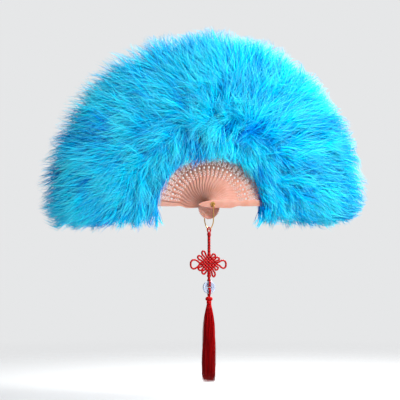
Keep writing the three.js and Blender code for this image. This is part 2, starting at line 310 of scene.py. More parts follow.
@dataclass(frozen=True)
class RayonCord:
    """Twisted rayon cord: saturated red with a silky gloss on the crown of each ply, and painted shade
    darkening the grooves between the plies.

    The piece's own map gives the place: across it the way round the cord, up it the way along it.
    """

    crown: str = "#C80D11"
    # Painted shade: the darker colour given to the grooves between the plies
    groove_shade: str = "#5C0204"
    plies: int = 3
    lay_mm: float = 2.6
    band_scale: float = 0.5
    unevenness: float = 0.6
    ply_depth_mm: float = 0.15
    ply_strength: float = 0.5
    roughness: float = 0.42
    ior: float = 1.5
    gloss: float = 0.14

    def material(self) -> bpy.types.Material:
        """Makes the finish.

        Returns:
            The material.
        """
        made, shader = bare_material("rayon_cord", Roughness=self.roughness, IOR=self.ior,
                                     Specular_IOR_Level=self.gloss)
        tree = made.node_tree
        place = add_node(tree, "ShaderNodeUVMap", {"uv_map": CORD_MAP})
        turned = add_node(tree, "ShaderNodeMapping",
                          {"Scale": (self.plies, 1 / (self.lay_mm * MM), 1.0)},
                          {"Vector": place.outputs["UV"]})
        wave = add_node(tree, "ShaderNodeTexWave",
                        {"wave_type": "BANDS", "bands_direction": "DIAGONAL",
                         "Scale": self.band_scale, "Distortion": self.unevenness},
                        {"Vector": turned.outputs["Vector"]})
        # Painted shade: the bands darken from the crown of each ply into the groove beside it
        tone = add_node(tree, "ShaderNodeValToRGB", links={"Fac": wave.outputs["Fac"]},
                        stops=[(0.0, self.groove_shade), (0.55, self.crown)])
        lay_on(tree, shader, tone, wave, self.ply_strength, self.ply_depth_mm * MM)
        return made


@dataclass(frozen=True)
class RayonThread:
    """Loose rayon threads: red with a long silky gloss, each thread a little lighter or darker, and
    painted shade that darkens it towards its lower end.
    """

    tones: tuple = ((0.0, "#800005"), (0.5, "#BE0007"), (1.0, "#E60D10"))
    # Painted shade: each thread darkens from its root towards its lower end
    along: tuple = ((0.0, "#FFFFFF"), (1.0, "#C9B4B4"))
    roughness: float = 0.38
    ior: float = 1.5
    gloss: float = 0.1

    def material(self) -> bpy.types.Material:
        """Makes the finish.

        Returns:
            The material.
        """
        made, shader = bare_material("rayon_thread", Roughness=self.roughness, IOR=self.ior,
                                     Specular_IOR_Level=self.gloss)
        dye_strands(made.node_tree, shader, self.tones, self.along)
        return made


@dataclass(frozen=True)
class WhiteJade:
    """Polished white jade: bluish white and cloudy under a clear gloss, with a painted highlight that
    makes its rim paler.
    """

    colour: str = "#A9B4CB"
    cloud: str = "#92A0BD"
    # Painted highlight: the paler colour given to the rim for the light that it catches
    rim: str = "#BAC4D7"
    cloud_mm: float = 4.0
    cloud_detail: float = 4.0
    cloud_swirl: float = 0.8
    roughness: float = 0.36
    ior: float = 1.62
    scatter: float = 0.1
    scatter_mm: float = 0.8

    def material(self, centre: Vector, start: float, end: float) -> bpy.types.Material:
        """Makes the finish for one ring.

        Args:
            centre: The ring's middle.
            start: The radius at which the painted highlight of the rim begins.
            end: The radius from which it has its full tone.

        Returns:
            The material.
        """
        made, shader = bare_material("white_jade", Roughness=self.roughness, IOR=self.ior,
                                     Subsurface_Weight=self.scatter,
                                     Subsurface_Scale=self.scatter_mm * MM)
        tree = made.node_tree
        place = add_node(tree, "ShaderNodeTexCoord").outputs["Object"]
        clouds = add_node(tree, "ShaderNodeTexNoise",
                          {"Scale": 1 / (self.cloud_mm * MM), "Detail": self.cloud_detail,
                           "Distortion": self.cloud_swirl},
                          {"Vector": place})
        tone = add_node(tree, "ShaderNodeValToRGB", links={"Fac": clouds.outputs["Fac"]},
                        stops=[(0.35, self.cloud), (0.65, self.colour)])
        # Painted highlight: the colour turns paler out towards the rim
        away = add_node(tree, "ShaderNodeVectorMath", {"operation": "DISTANCE", 1: centre},
                        {0: place})
        share = add_node(tree, "ShaderNodeMapRange", {"From Min": start, "From Max": end},
                         {"Value": away.outputs["Value"]})
        mixed = add_node(tree, "ShaderNodeMix", {"data_type": "RGBA", 7: colour_of(self.rim)},
                         {0: share.outputs["Result"], 6: tone.outputs["Color"]})
        tree.links.new(mixed.outputs[2], shader.inputs["Base Color"])
        return made


def choose(*pieces: bpy.types.Object) -> None:
    """Selects some pieces and nothing else, with the first one active.

    Args:
        pieces: The objects to select.
    """
    bpy.ops.object.select_all(action="DESELECT")
    for piece in pieces:
        piece.select_set(True)
    bpy.context.view_layer.objects.active = pieces[0]


@contextmanager
def editing(piece: bpy.types.Object) -> Iterator[None]:
    """Opens one piece in edit mode with nothing selected in it, and leaves the mode at the end.

    Args:
        piece: The object to edit.

    Yields:
        Nothing, while the mode is open.
    """
    choose(piece)
    bpy.ops.object.mode_set(mode="EDIT")
    bpy.ops.mesh.select_mode(type="VERT")
    bpy.ops.mesh.select_all(action="DESELECT")
    yield
    bpy.ops.object.mode_set(mode="OBJECT")


def apply_modifier(piece: bpy.types.Object, kind: str, **settings: object) -> None:
    """Adds a modifier with its settings and applies it at once.

    Args:
        piece: The object that it shapes.
        kind: The modifier's type, such as BEVEL.
        settings: Values of the modifier's own options.
    """
    choose(piece)
    modifier = piece.modifiers.new(kind.lower(), kind)
    for name, value in settings.items():
        setattr(modifier, name, value)
    bpy.ops.object.modifier_apply(modifier=modifier.name)


def joined(pieces: Sequence[bpy.types.Object]) -> bpy.types.Object:
    """Joins pieces into the first of them, with the place of each in the mesh.

    Args:
        pieces: The objects to join.

    Returns:
        The first of them, which now holds them all.
    """
    choose(*pieces)
    if len(pieces) > 1:
        bpy.ops.object.join()
    bpy.ops.object.transform_apply()
    return pieces[0]


def close_up() -> None:
    """Merges the doubles of the piece in edit mode and turns its faces outwards."""
    bpy.ops.mesh.select_all(action="SELECT")
    bpy.ops.mesh.remove_doubles(threshold=WELD)
    bpy.ops.mesh.normals_make_consistent(inside=False)


def turned(name: str, profile: Profile, centre: Vector, axis: Axis, steps: int) -> bpy.types.Object:
    """Spins a closed profile about an axis.

    Args:
        name: The new object's name.
        profile: Radius and height of each corner, in metres, in order round the profile.
        centre: The point on the axis that heights are measured from.
        axis: The axis of the turn.
        steps: How many steps make the full turn.

    Returns:
        The new object.
    """
    points = [centre + Vector((radius, 0, 0)) + height * Vector(axis.value)
              for radius, height in profile]
    bpy.ops.mesh.primitive_plane_add(size=MM, location=points[0])
    piece = bpy.context.object
    piece.name = name
    bpy.ops.object.transform_apply()
    with editing(piece):
        bpy.ops.mesh.select_all(action="SELECT")
        bpy.ops.mesh.merge(type="CENTER")
        for start, end in zip(points, points[1:]):
            bpy.ops.mesh.extrude_region_move(TRANSFORM_OT_translate={"value": end - start})
        bpy.ops.mesh.select_all(action="SELECT")
        bpy.ops.mesh.edge_face_add()
        bpy.ops.mesh.delete(type="ONLY_FACE")
        bpy.ops.mesh.select_all(action="SELECT")
        bpy.ops.mesh.spin(steps=steps, angle=2 * math.pi, center=centre, axis=axis.value)
        close_up()
    return piece


def smooth(piece: bpy.types.Object, angle_deg: float = 35.0) -> None:
    """Shades a piece smooth but for its edges sharper than an angle."""
    choose(piece)
    bpy.ops.object.shade_smooth_by_angle(angle=math.radians(angle_deg))


def round_edges(piece: bpy.types.Object, width: float, angle_deg: float = 40.0) -> None:
    """Rounds a piece's sharp edges and shades it smooth.

    Args:
        piece: The object to round.
        width: The width of the rounding.
        angle_deg: The angle from which an edge counts as sharp.
    """
    apply_modifier(piece, "BEVEL", width=width, segments=3, limit_method="ANGLE",
                   angle_limit=math.radians(angle_deg))
    smooth(piece)


def mesh_object(name: str, points: np.ndarray, faces: Sequence[np.ndarray], layer: str,
                places: Sequence[np.ndarray],
                normals: Sequence[np.ndarray] | None = None) -> bpy.types.Object:
    """Makes an object from groups of faces that have equally many corners.

    Args:
        name: The new object's name.
        points: Corners as an array of (point, 3).
        faces: Arrays of (face, corner) of point numbers, one for each group.
        layer: The name of its map.
        places: Arrays of (face, corner, 2) of places on the map, one for each group.
        normals: Arrays of (face, corner, 3), one for each group, where the shading has its own.

    Returns:
        The new object, shaded smooth.
    """
    mesh = bpy.data.meshes.new(name)
    corners = np.concatenate([group.ravel() for group in faces]).astype(np.int32)
    sizes = np.concatenate([np.full(len(group), group.shape[1]) for group in faces])
    starts = np.concatenate([[0], np.cumsum(sizes)[:-1]]).astype(np.int32)
    mesh.vertices.add(len(points))
    mesh.vertices.foreach_set("co", points.astype(np.float32).ravel())
    mesh.loops.add(len(corners))
    mesh.loops.foreach_set("vertex_index", corners)
    mesh.polygons.add(len(starts))
    mesh.polygons.foreach_set("loop_start", starts)
    mesh.update(calc_edges=True)
    lay = mesh.uv_layers.new(name=layer)
    lay.uv.foreach_set("vector", np.concatenate(
        [group.reshape(-1, 2) for group in places]).astype(np.float32).ravel())
    mesh.shade_smooth()
    if normals is not None:
        mesh.normals_split_custom_set(np.concatenate([group.reshape(-1, 3) for group in normals]))
    piece = bpy.data.objects.new(name, mesh)
    bpy.context.scene.collection.objects.link(piece)
    return piece


def unit(vectors: np.ndarray) -> np.ndarray:
    """Returns vectors at length 1, along the last axis of the array."""
    return vectors / np.maximum(np.linalg.norm(vectors, axis=-1, keepdims=True), 1e-12)


def about_z(radius: np.ndarray | float, turns: np.ndarray, heights: np.ndarray) -> np.ndarray:
    """Returns points round the Z axis.

    Args:
        radius: How far from the axis they lie.
        turns: Their angles round it, in radians.
        heights: Their heights.

    Returns:
        The points, with X, Y and Z along the last axis.
    """
    return np.stack([radius * np.cos(turns), radius * np.sin(turns), heights], axis=-1)


@dataclass
class Strands:
    """Closed tapered strands round many short lines, all in one mesh.

    Where outward is given, each side that faces that way is shaded nearly as if it lay flat in the
    surface of the whole, which is how a mass of fine barbs takes the light.
    """

    lines: np.ndarray
    radii: np.ndarray
    tones: np.ndarray
    sides: int = 3
    strip: float = 0.012
    outward: np.ndarray | None = None
    roundness: float = 0.4

    def object(self, name: str, rng: np.random.Generator) -> bpy.types.Object:
        """Builds the strands.

        Args:
            name: The new object's name.
            rng: Where the turn of each strand about its own line comes from.

        Returns:
            The new object, with its tones and lengths on STRAND_MAP.
        """
        count, stations = self.lines.shape[:2]
        rings = stations - 1
        tangents = unit(np.gradient(self.lines, axis=1))
        across = unit(np.cross(tangents, unit(rng.normal(size=(count, 1, 3)))))
        up = np.cross(tangents, across)

        def spokes(turns: np.ndarray) -> np.ndarray:
            """Returns the ways out of each ring of each strand at some angles round it."""
            return (across[:, :rings, None] * np.cos(turns)[:, None]
                    + up[:, :rings, None] * np.sin(turns)[:, None])

        side = np.arange(self.sides)
        after = (side + 1) % self.sides
        corner_out = spokes(side * 2 * math.pi / self.sides)
        face_out = spokes((side + 0.5) * 2 * math.pi / self.sides)
        near = self._shading(corner_out, face_out)
        far = self._shading(corner_out[:, :, after], face_out)
        ring_points = (self.lines[:, :rings, None]
                       + corner_out * self.radii[:, :rings, None, None]).reshape(count, -1, 3)
        points = np.concatenate([ring_points, self.lines[:, -1:]], axis=1)
        each = points.shape[1]
        first = np.arange(count)[:, None] * each
        low = self.tones[:, None] * (1 - self.sides * self.strip) + side * self.strip
        heights = np.linspace(0, 1, stations)
        faces, places, normals = [], [], []
        for ring in range(rings - 1):
            this, beyond = first + ring * self.sides, first + (ring + 1) * self.sides
            faces.append(np.stack([this + side, this + after, beyond + after, beyond + side], -1))
            places.append(self._strip(low, heights[ring], heights[ring + 1]))
            normals.append(np.stack([near[:, ring], far[:, ring], far[:, ring + 1],
                                     near[:, ring + 1]], axis=2))
        this = first + (rings - 1) * self.sides
        tip = np.broadcast_to(first + each - 1, (count, self.sides))
        faces.append(np.stack([this + side, this + after, tip], axis=-1))
        places.append(self._strip(low, heights[-2], 1.0)[:, :, :3])
        middle = self._shading(face_out, face_out)
        normals.append(np.stack([near[:, -1], far[:, -1], middle[:, -1]], axis=2))
        faces.append((first + side[::-1])[:, None])
        places.append(np.stack([low[:, ::-1], np.broadcast_to(
            np.where(side == 1, heights[1] / 2, 0.0), low.shape)], axis=-1)[:, None])
        normals.append(np.broadcast_to(-tangents[:, None, :1], (count, 1, self.sides, 3)))
        return mesh_object(
            name, points.reshape(-1, 3), [group.reshape(-1, group.shape[-1]) for group in faces],
            STRAND_MAP, [group.reshape(-1, *group.shape[-2:]) for group in places],
            None if self.outward is None else normals)

    def _shading(self, corner_out: np.ndarray, face_out: np.ndarray) -> np.ndarray:
        """Turns the normals of corners outward on the sides that face that way.

        Args:
            corner_out: The way out of the strand at each corner.
            face_out: The way out of it in the middle of each side.

        Returns:
            The normals.
        """
        if self.outward is None:
            return corner_out
        outward = self.outward[:, None, None]
        faced = (face_out * outward).sum(-1, keepdims=True) > 0.05
        return unit(np.where(faced, outward + self.roundness * corner_out, corner_out))

    def _strip(self, low: np.ndarray, start: float, end: float) -> np.ndarray:
        """Lays one ring of quads on the map.

        Args:
            low: Where each quad's strip begins across the map.
            start: The height of the ring's lower edge.
            end: The height of its upper edge.

        Returns:
            The places of the quads' corners.
        """
        corners = [(0, start), (self.strip, start), (self.strip, end), (0, end)]
        return np.stack([np.stack([low + right, np.full_like(low, height)], -1)
                         for right, height in corners], axis=2)


def round_cord(name: str, path: np.ndarray, radius: float, closed: bool = False,
               sides: int = 10) -> bpy.types.Object:
    """Makes a round cord along a path, with domed ends where the path is open.

    Args:
        name: The new object's name.
        path: Points that the middle of the cord follows, as an array of (point, 3).
        radius: Half the cord's thickness.
        closed: Whether the last point joins the first.
        sides: How many sides the cord has.

    Returns:
        The new object, with the way round and the way along on CORD_MAP.
    """
    count = len(path)
    if closed:
        tangents = unit(np.roll(path, -1, axis=0) - np.roll(path, 1, axis=0))
    else:
        tangents = unit(np.gradient(path, axis=0))
    start = np.eye(3)[np.argmin(np.abs(tangents[0]))]
    across = [unit(np.cross(tangents[0], start))]
    for tangent in tangents[1:]:
        carried = across[-1] - tangent * (across[-1] @ tangent)
        across.append(unit(carried))
    across = np.array(across)
    if closed:
        ending = across[-1] - tangents[0] * (across[-1] @ tangents[0])
        twist = math.atan2(np.cross(unit(ending), across[0]) @ tangents[0], unit(ending) @ across[0])
        share = np.arange(count) / count
        up = np.cross(tangents, across)
        across = (across * np.cos(twist * share)[:, None] + up * np.sin(twist * share)[:, None])
    up = np.cross(tangents, across)
    turns = np.arange(sides) * 2 * math.pi / sides
    rings = path[:, None] + radius * (across[:, None] * np.cos(turns)[:, None]
                                      + up[:, None] * np.sin(turns)[:, None])
    steps = np.linalg.norm(np.diff(path, axis=0, append=path[:1]), axis=1)
    along = np.concatenate([[0], np.cumsum(steps)])
    ring = np.arange(count if closed else count - 1)[:, None]
    side = np.arange(sides)
    after = (side + 1) % sides
    beyond = (ring + 1) % count
    quads = np.stack([ring * sides + side, ring * sides + after,
                      beyond * sides + after, beyond * sides + side], axis=-1)
    around = side / sides
    wide = 1 / sides
    lay = np.stack([
        np.stack(np.broadcast_arrays(around, along[ring]), -1),
        np.stack(np.broadcast_arrays(around + wide, along[ring]), -1),
        np.stack(np.broadcast_arrays(around + wide, along[ring + 1]), -1),
        np.stack(np.broadcast_arrays(around, along[ring + 1]), -1)], axis=2)
    points = rings.reshape(-1, 3)
    faces = [quads.reshape(-1, 4)]
    places = [lay.reshape(-1, 4, 2)]
    if not closed:
        ends = np.array([path[0] - tangents[0] * radius / 2, path[-1] + tangents[-1] * radius / 2])
        near, far = len(points), len(points) + 1
        points = np.concatenate([points, ends])
        last = (count - 1) * sides
        faces.append(np.stack([after, side, np.full(sides, near)], axis=-1))
        faces.append(np.stack([last + side, last + after, np.full(sides, far)], axis=-1))
        for height in (0.0, along[count - 1]):
            corner = np.stack([around, np.full(sides, height)], -1)
            beside = np.stack([around + wide, np.full(sides, height)], -1)
            middle = np.stack([around + wide / 2, np.full(sides, height + radius)], -1)
            places.append(np.stack([corner, beside, middle], axis=1))
    return mesh_object(name, points, faces, CORD_MAP, places)


def spline(corners: Sequence[Vector], steps: int, closed: bool = False) -> np.ndarray:
    """Runs a smooth curve through some points.

    Args:
        corners: The points to pass through, in order.
        steps: Points made for each stretch between two corners.
        closed: Whether the curve comes back to its first point.

    Returns:
        Points along the curve, as an array of (point, 3).
    """
    known = np.array([list(c) for c in corners], float)
    if closed:
        padded = np.concatenate([known[-1:], known, known[:2]])
    else:
        padded = np.concatenate([2 * known[:1] - known[1:2], known, 2 * known[-1:] - known[-2:-1]])
    share = np.linspace(0, 1, steps, endpoint=False)[:, None]
    made = []
    for a, b, c, d in zip(padded, padded[1:], padded[2:], padded[3:]):
        made.append(0.5 * (2 * b + (c - a) * share + (2 * a - 5 * b + 4 * c - d) * share ** 2
                           + (3 * b - a - 3 * c + d) * share ** 3))
    curve = np.concatenate(made)
    return curve if closed else np.concatenate([curve, known[-1:]])


def settle(piece: bpy.types.Object, name: str, body: str, material: bpy.types.Material,
           nodes: Sequence[str] = ()) -> bpy.types.Object:
    """Names and dresses a finished piece and puts it on its body.

    Args:
        piece: The object, with its place in its mesh.
        name: Its final name.
        body: The body that it moves with.
        material: Its finish.
        nodes: The frame's nodes that it stands for.

    Returns:
        The piece.
    """
    piece.name = name
    piece.data.name = name
    piece.data.materials.clear()
    piece.data.materials.append(material)
    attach(piece, body)
    if nodes:
        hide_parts(*nodes)
    LOG.info("%s rides on %s with %d faces", name, body, len(piece.data.polygons))
    return piece


@dataclass
class Fan:
    """The fan's opening, and where each stick lies in it."""

    sticks: int = 25
    open_deg: float = 178.0
    lift_deg: float = 1.0

    def place(self, number: int) -> Place:
        """Returns the place of a stick by its number from the front."""
        ends = {0: Place.FRONT_GUARD, self.sticks - 1: Place.REAR_GUARD}
        return ends.get(number, Place.INNER)

    def body(self, number: int) -> str:
        """Returns the name of a stick's body, which is also its node's name."""
        names = {Place.FRONT_GUARD: "front_guard", Place.REAR_GUARD: "rear_guard"}
        return names.get(self.place(number), f"stick_{number:02d}")

    def plume(self, number: int) -> str:
        """Returns the name of the node of a stick's fluff."""
        body = self.body(number)
        return f"plume_{number:02d}" if self.place(number) is Place.INNER else f"plume_{body}"

    @property
    def pitch(self) -> float:
        """Returns the angle between two neighbouring sticks, in radians."""
        return math.radians(self.open_deg) / (self.sticks - 1)

    def angle(self, number: int) -> float:
        """Returns a stick's angle above +X, in radians."""
        return math.radians(self.lift_deg) + number * self.pitch

    def middle(self, number: int) -> float:
        """Returns where the middle of a stick's thickness lies in Y."""
        low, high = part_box(self.body(number))
        return (low.y + high.y) / 2


@dataclass
class Sticks:
    """The two guards and the pierced sticks between them, all from one outline."""

    fan: Fan
    finish: MouldedPolystyrene
    # Places along the stick, measured from the pivot, with half the width at each
    head: float = 21.5 * MM
    head_half: float = 4.9 * MM
    petal: float = 26 * MM
    petal_half: float = 6.2 * MM
    pinch: float = 39.5 * MM
    pinch_half: float = 3.4 * MM
    blade: float = 47 * MM
    blade_half: float = 4.15 * MM
    reach: float = 185 * MM
    tip: float = 8 * MM
    tip_half: float = 2.4 * MM
    # How bluntly the head is rounded, and the share of its width that is left at its end
    head_bluntness: float = 0.7
    head_end: float = 0.03
    station: float = 1.8 * MM
    edge: float = 0.38 * MM
    rivet_hole: float = 1.9 * MM
    punch: float = 6 * MM
    # The openwork, with each hole's size along and across the stick: a zigzag, then an eye, then
    # fretwork in rows of two holes with one on the middle line between two rows
    zigzag: float = 40.3 * MM
    zigzag_pitch: float = 1.75 * MM
    zigzag_count: int = 5
    zigzag_side: float = 0.85 * MM
    zigzag_hole: tuple[float, float] = (2.2 * MM, 1.9 * MM)
    eye: float = 51.4 * MM
    eye_hole: tuple[float, float] = (3.4 * MM, 3.0 * MM)
    eye_corners: int = 8
    fret: float = 55.8 * MM
    fret_pitch: float = 2.7 * MM
    fret_rows: int = 10
    fret_sides: tuple[float, float] = (2.3 * MM, 1.5 * MM)
    fret_hole: tuple[float, float] = (2.6 * MM, 1.9 * MM)
    fret_middle_hole: tuple[float, float] = (2.2 * MM, 1.8 * MM)

    def half_width(self, along: float) -> float:
        """Returns half the stick's width at a place along it.

        Args:
            along: The place, measured from the pivot.

        Returns:
            Half the width there, in metres.
        """
        if along < 0:
            left = max(self.head_end, 1 - (along / self.head) ** 2)
            return self.head_half * left ** self.head_bluntness
        if along > self.reach - self.tip:
            share = (along - self.reach + self.tip) / self.tip
            return self.blade_half + (self.tip_half - self.blade_half) * share ** 2
        bends = [(0, self.head_half), (self.petal, self.petal_half),
                 (self.pinch, self.pinch_half), (self.blade, self.blade_half),
                 (self.reach, self.blade_half)]
        for (start, low), (end, high) in zip(bends, bends[1:]):
            if along <= end:
                turn = (1 - math.cos(math.pi * (along - start) / (end - start))) / 2
                return low + (high - low) * turn
        return self.blade_half

    def stations(self) -> list[float]:
        """Places the cross-sections at which the stick's outline bends.

        Returns:
            Their places along the stick, from the head to the tip.
        """
        curved = np.arange(-self.head + self.station / 2, self.blade, self.station)
        tip = np.linspace(self.reach - self.tip, self.reach, 4)[:-1]
        return [*curved.tolist(), self.blade, *tip.tolist()]

    def blank(self, thickness: float) -> bpy.types.Object:
        """Shapes an unpierced stick that lies along +X with its middle on the pivot.

        Args:
            thickness: The stick's thickness.

        Returns:
            The stick, with the hole for the rivet.
        """
        length = self.head + self.reach
        bpy.ops.mesh.primitive_cube_add(
            size=1, location=((self.reach - self.head) / 2, 0, 0),
            scale=(length, thickness, 2 * self.blade_half))
        stick = bpy.context.object
        bpy.ops.object.transform_apply()
        with editing(stick):
            for along in self.stations():
                bpy.ops.mesh.select_all(action="SELECT")
                bpy.ops.mesh.bisect(plane_co=(along, 0, 0), plane_no=(1, 0, 0))
            for along in (-self.head, *self.stations(), self.reach):
                mesh = bmesh.from_edit_mesh(stick.data)
                for vertex in mesh.verts:
                    vertex.select_set(abs(vertex.co.x - along) < 10 * WELD)
                mesh.select_flush(True)
                bmesh.update_edit_mesh(stick.data)
                bpy.ops.transform.resize(value=(1, 1, self.half_width(along) / self.blade_half),
                                         center_override=(along, 0, 0))
        bpy.ops.mesh.primitive_cylinder_add(vertices=40, radius=self.rivet_hole, depth=self.punch,
                                            rotation=(math.pi / 2, 0, 0))
        self.cut(stick, [bpy.context.object])
        return stick

    def cut(self, stick: bpy.types.Object, cutters: list[bpy.types.Object]) -> None:
        """Takes the cutters' shapes out of a stick and deletes them.

        Args:
            stick: The stick to cut.
            cutters: The shapes to take out of it.
        """
        cutter = joined(cutters)
        apply_modifier(stick, "BOOLEAN", operation="DIFFERENCE", object=cutter, solver="EXACT")
        bpy.data.objects.remove(cutter)

    def hole(self, along: float, across: float, length: float, width: float,
             corners: int = 4) -> bpy.types.Object:
        """Adds one cutter across the stick.

        Args:
            along: Its place along the stick.
            across: Its place to one side of the stick's middle line.
            length: Its size along the stick.
            width: Its size across the stick.
            corners: How many corners it has.

        Returns:
            The cutter.
        """
        bpy.ops.mesh.primitive_cylinder_add(
            vertices=corners, radius=0.5, depth=self.punch, location=(along, 0, across),
            rotation=(math.pi / 2, 0, 0), scale=(length, width, 1))
        return bpy.context.object

    def pierce(self, stick: bpy.types.Object) -> None:
        """Cuts the zigzag, the eye and the fretwork into an inner stick.

        Args:
            stick: The stick to pierce.
        """
        holes = []
        for step in range(self.zigzag_count):
            along = self.zigzag + step * self.zigzag_pitch
            holes.append(self.hole(along, (-1) ** step * self.zigzag_side, *self.zigzag_hole))
        holes.append(self.hole(self.eye, 0, *self.eye_hole, self.eye_corners))
        for row in range(self.fret_rows):
            along = self.fret + row * self.fret_pitch
            for sense in (-1, 1):
                holes.append(self.hole(along, sense * self.fret_sides[row % 2], *self.fret_hole))
            holes.append(self.hole(along + self.fret_pitch / 2, 0, *self.fret_middle_hole))
        self.cut(stick, holes)

    def build(self) -> None:
        """Models a guard and an inner stick and lays out all the sticks from them."""
        material = self.finish.material()
        low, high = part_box("front_guard")
        guard = self.blank(high.y - low.y)
        low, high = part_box("stick_01")
        inner = self.blank(high.y - low.y)
        self.pierce(inner)
        for stick in (guard, inner):
            round_edges(stick, self.edge)
        for number in range(self.fan.sticks):
            name = self.fan.body(number)
            pattern = inner if self.fan.place(number) is Place.INNER else guard
            mesh = pattern.data.copy()
            mesh.transform(Matrix.Translation((0, self.fan.middle(number), 0))
                           @ Matrix.Rotation(-self.fan.angle(number), 4, "Y"))
            piece = bpy.data.objects.new(name, mesh)
            bpy.context.scene.collection.objects.link(piece)
            settle(piece, f"{name}_stick", name, material, [name])
        for pattern in (guard, inner):
            bpy.data.objects.remove(pattern)


@dataclass
class Tufts:
    """The tufts of one stick, as arrays by tuft: where each stands and how its barbs run.

    Places are in metres, the barbs' lengths in mm, turns and rises in radians and bends in degrees.
    """

    root: np.ndarray
    side: np.ndarray
    face: np.ndarray
    inner: np.ndarray
    turn: np.ndarray
    rise: np.ndarray
    length_mm: np.ndarray
    bend_deg: np.ndarray
    tone: np.ndarray


@dataclass
class Fluff:
    """The marabou on every stick: a core of matted down with barbs that stand out from it."""

    fan: Fan
    finish: MarabouDown
    # Distances from the pivot: where the down starts and how much nearer it does on the guards, where
    # its roots end, the rim, where the barbs part, and where the stack's own depth is lost; then how
    # far below a guard the roots lie, and the points of each strand
    start: float = 82 * MM
    start_fall: float = 11 * MM
    end: float = 198 * MM
    rim: float = 246 * MM
    parting: float = 116 * MM
    centred_by: float = 138 * MM
    droop: float = 11 * MM
    stations: int = 4
    # The core: half its depth and the part of a sine's half turn that this follows, how many strands
    # make it, the share that hangs below a guard, and each strand's length, run and thickness
    core_half: float = 11 * MM
    core_swell: tuple[float, float] = (0.12, 0.8)
    core_inset: float = 6 * MM
    core_past: float = 8 * MM
    core_count: int = 150
    guard_core_count: int = 230
    core_hanging: float = 0.4
    core_filled: float = 0.85
    core_length_mm: tuple[float, float] = (26, 38)
    core_ragged_mm: float = 2
    core_waver_mm: float = 1.5
    core_thin: float = 0.9 * MM
    core_thick: float = 2.8 * MM
    core_thick_after: float = 34 * MM
    core_taper: tuple = (0.5, 1.0, 0.8, 0.0)
    # Painted shade: the core's strands take only dark tones, up to this one, as the inside of the down
    # lies in shade
    core_shade_lightest: float = 0.3
    # The tufts: how many stand on each face of a stick and how many more hang below a guard
    tuft_count: int = 34
    droop_tufts: int = 12
    droop_from: float = 0.2
    # The way of the outer barbs and of the inner ones in degrees: the most that they turn, the stick's
    # angle at which they stand straight and the angle over which they turn; then the way of those
    # below a guard, at the pivot's end and how much less at the rim's
    outer_lean: tuple[float, float, float] = (36, 52, 26)
    inner_part: tuple[float, float, float] = (38, 90, 28)
    below_spread: tuple[float, float] = (16, 72)
    ease_reach: float = 120 * MM
    ease_past: float = 40 * MM
    ease_least: float = 0.45
    # A tuft's parting, turn, rise, length, bend and tone: means and scatters of the draws, with the
    # gain of those that stand proud and of those in the tangle round the parting
    parting_mm: float = 13
    tangle: float = 16 * MM
    turn_deg: float = 14
    tangle_turn_deg: float = 30
    rise_deg: tuple[float, float] = (36, 6)
    proud_rise_deg: float = 16
    tangle_rise_deg: float = 14
    outer_mm: float = 60
    inner_mm: float = 39
    hanging_mm: float = 33
    length_scatter_mm: float = 4
    bend_deg: float = 18
    # Painted light: a tuft's tone gains with how proud it stands, lighter on top and darker underneath
    # where shade falls; the rest is a random scatter
    tuft_tone: tuple[float, float, float] = (0.23, 0.69, 0.14)
    # How tufts lie down towards the rim: from where, how much less they rise, how much shorter they
    # are, and the same start and power for those below a guard
    flat_from: float = 132 * MM
    flat_rise: float = 0.9
    flat_length: float = 0.14
    hanging_flat: tuple[float, float] = (0.6, 1.2)
    hanging_flat_power: float = 0.6
    # The barbs of a tuft: their number, the scatter of their roots, turns, rises and lengths, the
    # pull of their own weight, and their thickness
    strand_count: int = 38
    root_mm: tuple[float, float] = (4.5, 3.2)
    root_before: float = 1 * MM
    root_past: float = 4 * MM
    root_deep: tuple[float, float] = (0.35, 0.9)
    splay_deg: float = 10
    heading_deg: float = 6
    climb_deg: float = 9
    settled_deg: tuple[float, float] = (-12, 8)
    curl_deg: float = 8
    strand_scatter: float = 0.16
    strand_range: tuple[float, float] = (0.5, 1.35)
    weight: float = 0.34
    barb_mm: tuple[float, float] = (0.26, 0.42)
    barb_taper: tuple = (0.8, 1.0, 0.75, 0.0)
    # Painted shade: the tone's gain with the root's depth from a middle one, darker nearer the middle
    # of the down, and its scatter
    depth_shade: tuple[float, float] = (0.62, 0.6)
    barb_tone: float = 0.085
    # Where the barbs end in mm: half the depth by distance from the pivot, then outside and inside
    # by degrees round the pivot, and below it by X
    depths: tuple = ((55, 22), (80, 29), (110, 32), (150, 33), (195, 31), (225, 24), (252, 13))
    rims: tuple = ((0, 234), (50, 237), (66, 243), (106, 243), (120, 252), (138, 255), (162, 249),
                   (180, 247))
    hems: tuple = ((-15, 70), (0, 73), (15, 71), (45, 74), (60, 70), (90, 65), (125, 70), (145, 77),
                   (165, 80), (180, 77), (195, 71))
    sags: tuple = ((-246, 2), (-240, 12), (-225, 27), (-80, 31), (80, 29), (185, 28), (208, 18),
                   (226, 6), (233, 1))
    # The share of the half depth that is left, by the height in mm
    thinned: tuple = ((-34, 0.5), (-8, 1.0))
    # The share of a barb's way past the rim, the hem or the sag that it keeps
    rim_give: float = 0.15
    hem_give: float = 0.45
    sag_give: float = 0.3
    # Waves of the edges, each with its height, the way in which it turns by one radian, and its
    # phase: of the rim in mm and degrees, and of the sag and the depth as shares and metres
    rim_waves: tuple = ((3.5, 3.3, 0), (3, 1.1, 1))
    sag_waves: tuple = ((0.16, 4.6 * MM, 0), (0.1, 2.1 * MM, 0))
    depth_waves: tuple = ((0.07, 2.9 * MM, 0), (0.07, 3.7 * MM, 0))
    under_round: float = 0.22
    under_half: float = 30 * MM
    under_most: float = 1.2
    # The shading: how far out a barb looks fully to its face, how much it tips over the rim, and how
    # much it turns to the side of its tuft
    proud_at: float = 0.6
    proud_least: float = 0.4
    rim_tip: tuple[float, float] = (0.8, 0.45)
    lock_round: float = 0.56
    lock_most: float = 1.6

